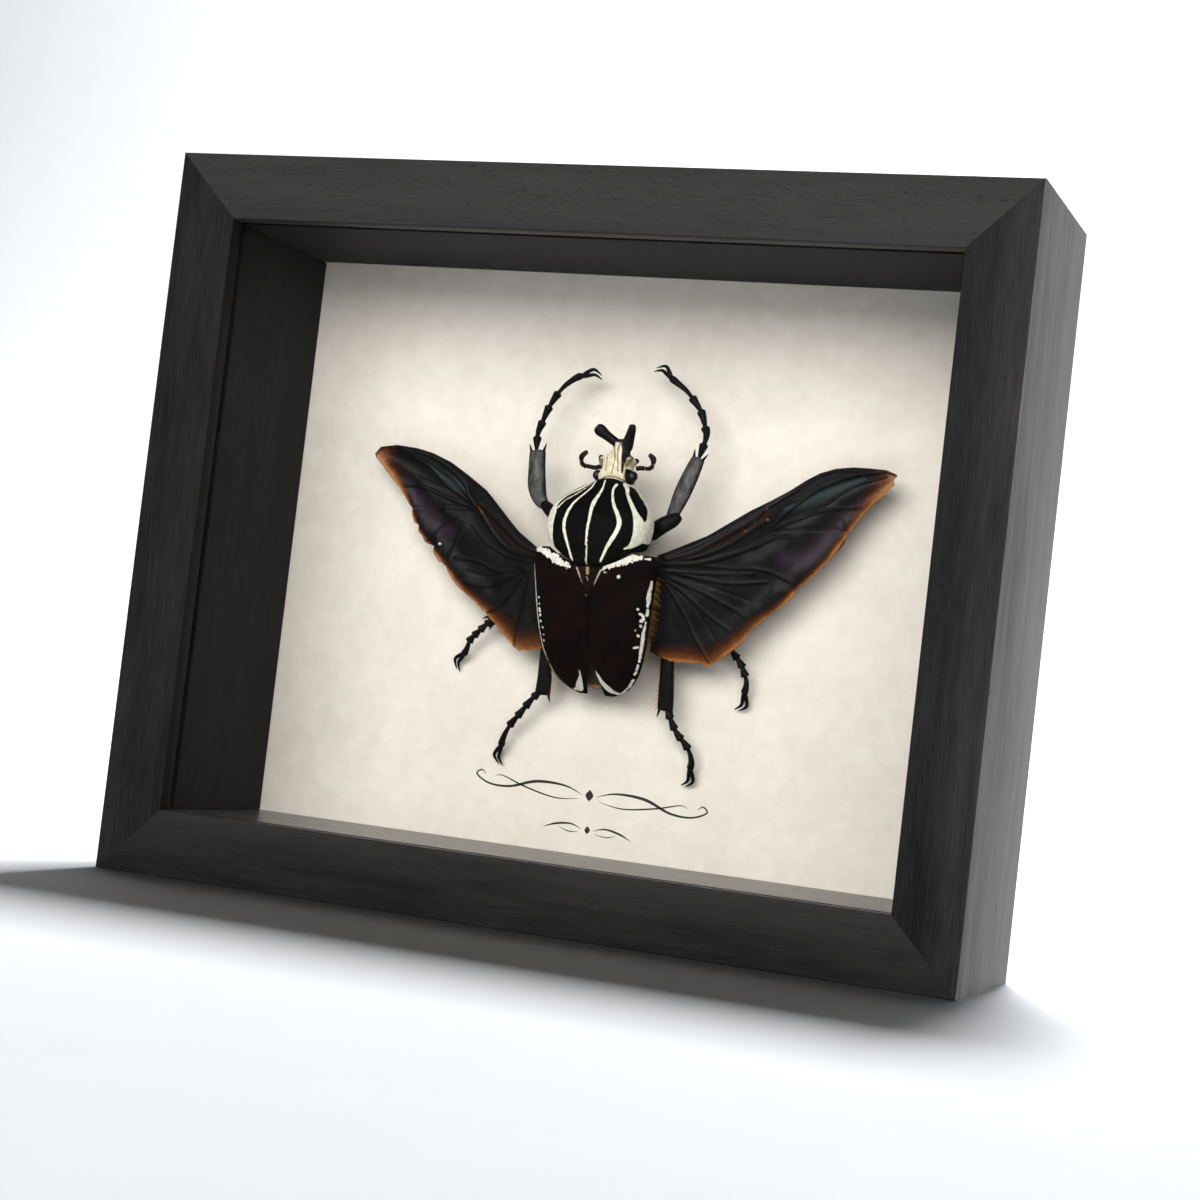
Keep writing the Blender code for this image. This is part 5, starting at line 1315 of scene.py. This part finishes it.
FOOT_BEAD = [(0.02, 0.78), (0.3, 0.96), (0.62, 1.2), (0.84, 1.44), (0.94, 1.25)]
CLAW_LONG = 5.9
SPUR_LONG = 2.6
KEEL_PROUD = 0.45


def run_and_side(line, share):
    """The run of a line of points at a share of its length, and the way across it."""
    before = Vector(flow(line, max(share - 0.03, 0))[:3])
    after = Vector(flow(line, min(share + 0.03, 1))[:3])
    run = (after - before).normalized()
    return run, Vector((-run.y, run.x, 0)).normalized()


def thorn(name, root, tip, wide):
    """A hooked thorn from its root to its tip, in beetle points."""
    middle = root.lerp(tip, 0.55) + Vector((0, 0, 0.12))
    stations = [(*root, wide, wide * 0.8), (*middle, wide * 0.6, wide * 0.5), (*tip, 0.09, 0.09)]
    return bent_sheet(name, 14, 18, limb_shape(stations), closed=True)


def foot_rows(line):
    """Stations of a foot: five joints, each flared towards the next."""
    rows = []
    for start, end in zip(FOOT_JOINTS, FOOT_JOINTS[1:]):
        size = 1.0 if end < 1 else 0.85
        for share, radius in FOOT_BEAD:
            point = along_line(line, start + (end - start) * share)
            rows.append((*point, radius * size, radius * size * 0.92))
    rows.append((*line[-1], 0.45, 0.42))
    return rows


def claw_rows(line, curl, side):
    """Stations of one of a foot's two hooks, which bend the same way, one outside the other."""
    tip = Vector(line[-1])
    run = (tip - Vector(line[-2])).normalized()
    out = Vector((-run.y, run.x, 0)).normalized() * -curl
    apart = 1.5 if side > 0 else -0.1
    first = tip + run * (0.25 * CLAW_LONG) + out * (0.8 * apart + 0.1)
    bend = tip + run * (0.62 * CLAW_LONG) + out * (1.1 * apart + 0.1)
    point = tip + run * CLAW_LONG + out * (0.9 * apart - 1.9)
    places = zip((tip - run * 0.6, first, bend, point), (0.8, 0.66, 0.5, 0.12))
    return [(*place, wide, wide) for place, wide in places]


def make_leg(name, leg):
    """The dark pieces of a leg, joined into one piece, and its shin: grey on the front legs, dark on the
    others.
    """
    shin = leg["shin"]
    dark = [bent_sheet("thigh", 36, 60, limb_shape(leg["thigh"]), closed=True)]
    smooth = [flow(leg["foot"], step / 40) for step in range(41)]
    dark.append(bent_sheet("foot", 24, 190, limb_shape(foot_rows(smooth)), closed=True))
    for side in (-1, 1):
        dark.append(bent_sheet("claw", 16, 30, limb_shape(claw_rows(leg["foot"], leg["curl"], side)),
                               closed=True))
        end = Vector(shin[-1][:3])
        run, across = run_and_side(shin, 1.0)
        root = end - run * 1.4 + across * (side * (shin[-1][3] - 0.7))
        tip = end + run * (SPUR_LONG - 0.6) + across * (side * (shin[-1][3] + 0.4))
        dark.append(thorn("spur", root, tip, 0.62))
    for side in (-1, 1):
        keel = []
        for step in range(9):
            share = 0.08 + 0.9 * step / 8
            here = flow(shin, share)
            run, across = run_and_side(shin, share)
            place = Vector(here[:3]) + across * (side * (here[3] - 0.12)) + Vector((0, 0, 0.1))
            keel.append((*place, 0.34, KEEL_PROUD))
        dark.append(bent_sheet("keel", 14, 50, limb_shape(keel), closed=True))
    leg_piece = join_pieces(name + "_dark", dark)
    put_on(leg_piece, black_leg, "leg", name)
    plate = bent_sheet(name + "_shin", 60, 90, limb_shape(shin), closed=True)
    put_on(plate, grey_shin if name.startswith("front") else dark_shin, "leg")


def leg_shell(name, low, high, shine):
    """Hard shell, a little scratched and pitted, in two close tones."""
    shell = Finish(name, Specular_IOR_Level=shine)
    scratch = shell.cloud(0.5, detail=6, rough=0.75)
    patch = shell.cloud(1.8, (1, 1, 2), detail=5)
    shell.set(Base_Color=shell.blend(shell.step(patch, 0.34, 0.68), low, high))
    shell.set(Roughness=shell.range(scratch, 0.26, 0.5))
    shell.relief(scratch, 0.06)
    shell.relief(shell.cells(0.45), 0.04)
    return shell


black_leg = leg_shell("black_leg_shell", tone(8, 7, 7), tone(18, 16, 15), 0.08)
dark_shin = leg_shell("dark_shin_shell", tone(9, 9, 8), tone(22, 20, 18), 0.06)
grey_shin = leg_shell("grey_shin_shell", tone(38, 38, 39), tone(84, 83, 81), 0.3)
for name, leg in LEGS.items():
    make_leg(name, leg)


# The hairs: fine golden bristles that fringe the sides of the body under the wing cases,
# the end of the belly between the tips, and the inner sides of the hind shins.

HAIR_RADIUS = 0.055
# For each fringe: the line of its roots, the way its hairs point, their length and number.
FRINGES = [
    ([(17.7, 112.0, 18.2), (17.7, 106.0, 18.0), (17.1, 98.0, 17.0), (15.6, 90.0, 15.0),
      (14.4, 86.0, 13.4)], (0.85, -0.5, 0.0), 3.4, 190),
    ([(-17.2, 98.0, 17.0), (-15.7, 90.0, 15.0), (-14.2, 85.4, 13.2)], (-0.7, -0.7, -0.2), 2.4, 60),
    ([(-3.2, 77.6, 10.4), (0.0, 76.8, 10.6), (3.2, 77.6, 10.4)], (0.0, -1.0, 0.1), 2.2, 90),
    ([(20.1, 92.0, 8.6), (20.4, 84.0, 8.5), (20.6, 76.0, 8.2), (20.9, 71.4, 7.8)],
     (-0.8, -0.6, 0.1), 2.2, 110),
    ([(-18.2, 90.0, 8.6), (-17.7, 83.0, 8.5), (-17.2, 76.0, 8.1), (-17.0, 72.0, 7.8)],
     (0.8, -0.6, 0.1), 1.9, 80),
]


def chance(step, row, seed):
    """A number from -1 to 1 that belongs to one hair of one fringe."""
    return noise.noise(Vector((step * 1.71 + 0.3, row * 7.3 + 0.7, seed))) * 2


def grow_hairs(name, fringes, radius):
    """Three sided bristles with one hair as their pattern, scattered along each fringe."""
    let_go()
    bpy.ops.mesh.primitive_cone_add(vertices=3, radius1=radius * MM, radius2=0.0, depth=MM,
                                    location=(0, 0, 0))
    pattern = bpy.context.object
    settle(pattern)
    hairs = []
    for row, (line, way, long, number) in enumerate(fringes):
        for step in range(number):
            slip, *shift, longer = [chance(step, row, seed + 0.5) for seed in range(1, 9)]
            share = min(max((step + 0.5) / number + slip * 0.02, 0), 1)
            root = Vector(flow(line, share)) + Vector(shift[:3]) * 0.35
            lean = Vector(way) + Vector(shift[3:]) * 0.3
            tip = root + lean.normalized() * long * (1 + 0.3 * longer)
            start, end = spot(*root), spot(*tip)
            hair = pattern.copy()
            hair.data = pattern.data.copy()
            bpy.context.scene.collection.objects.link(hair)
            turn = (end - start).to_track_quat("Z", "Y").to_matrix().to_4x4()
            size = Matrix.Diagonal((1, 1, (end - start).length / MM, 1))
            hair.matrix_world = Matrix.Translation((start + end) / 2) @ turn @ size
            hairs.append(hair)
    bpy.data.objects.remove(pattern, do_unlink=True)
    tuft = join_pieces(name, hairs)
    settle(tuft)
    return tuft


golden = Finish("golden_hair", Specular_IOR_Level=0.4, Roughness=0.45)
golden.set(Base_Color=golden.blend(golden.cloud(0.8), tone(172, 108, 44), tone(240, 176, 88)))
put_on(grow_hairs("golden_hairs", FRINGES, HAIR_RADIUS), golden, "belly")


# The pins: thin steel insect pins with a round head, pushed through the right wing case
# and the left wing into the board, and worn a little dull. Their colour is painted nearly
# white, a painted glint for the light that bright steel catches.

# Where the head of each pin is, as (u, z, h), and its radius.
PINS = {"body_pin": (10.5, 110.4, 30.2, 0.62), "wing_pin": (-60.4, 116.7, 11.9, 0.48)}
PIN_ROUND = 0.3
PIN_DEEP = 1.8

# A painted glint: nearly white, with little metal, where the steel catches the light.
pin_steel = Finish("pin_steel", Metallic=0.25, Specular_IOR_Level=0.6)
pin_steel.set(Base_Color=pin_steel.blend(pin_steel.cloud(0.8), tone(226, 226, 222),
                                         tone(246, 246, 242)))
pin_steel.set(Roughness=pin_steel.range(pin_steel.cloud(0.3, (1, 8, 1)), 0.25, 0.42))
for name, (u, z, h, head_round) in PINS.items():
    let_go()
    bpy.ops.mesh.primitive_cylinder_add(
        vertices=24, radius=PIN_ROUND * MM, depth=(h + PIN_DEEP) * MM,
        location=spot(u, z, (h - PIN_DEEP) / 2), rotation=(math.radians(90), 0, 0)
    )
    pin = bpy.context.object
    settle(pin)
    bpy.context.view_layer.objects.active = pin
    bpy.ops.object.mode_set(mode="EDIT")
    pick(pin, "FACE", lambda face: len(face.verts) > 4 and face.calc_center_median().y > spot(u, z, 0).y)
    point = spot(u, z, -PIN_DEEP)
    bpy.ops.transform.resize(value=(0.2, 1, 0.2), center_override=point)
    let_go()
    bpy.ops.mesh.primitive_uv_sphere_add(segments=32, ring_count=20, radius=head_round * MM,
                                         location=spot(u, z, h))
    ball = bpy.context.object
    ball.scale = (1, 0.8, 1)
    settle(ball)
    pin.data.shade_smooth()
    ball.data.shade_smooth()
    pin = join_pieces(name + "_steel", [pin, ball])
    pin.data.set_sharp_from_angle(angle=math.radians(40))
    put_on(pin, pin_steel, "steel", name)
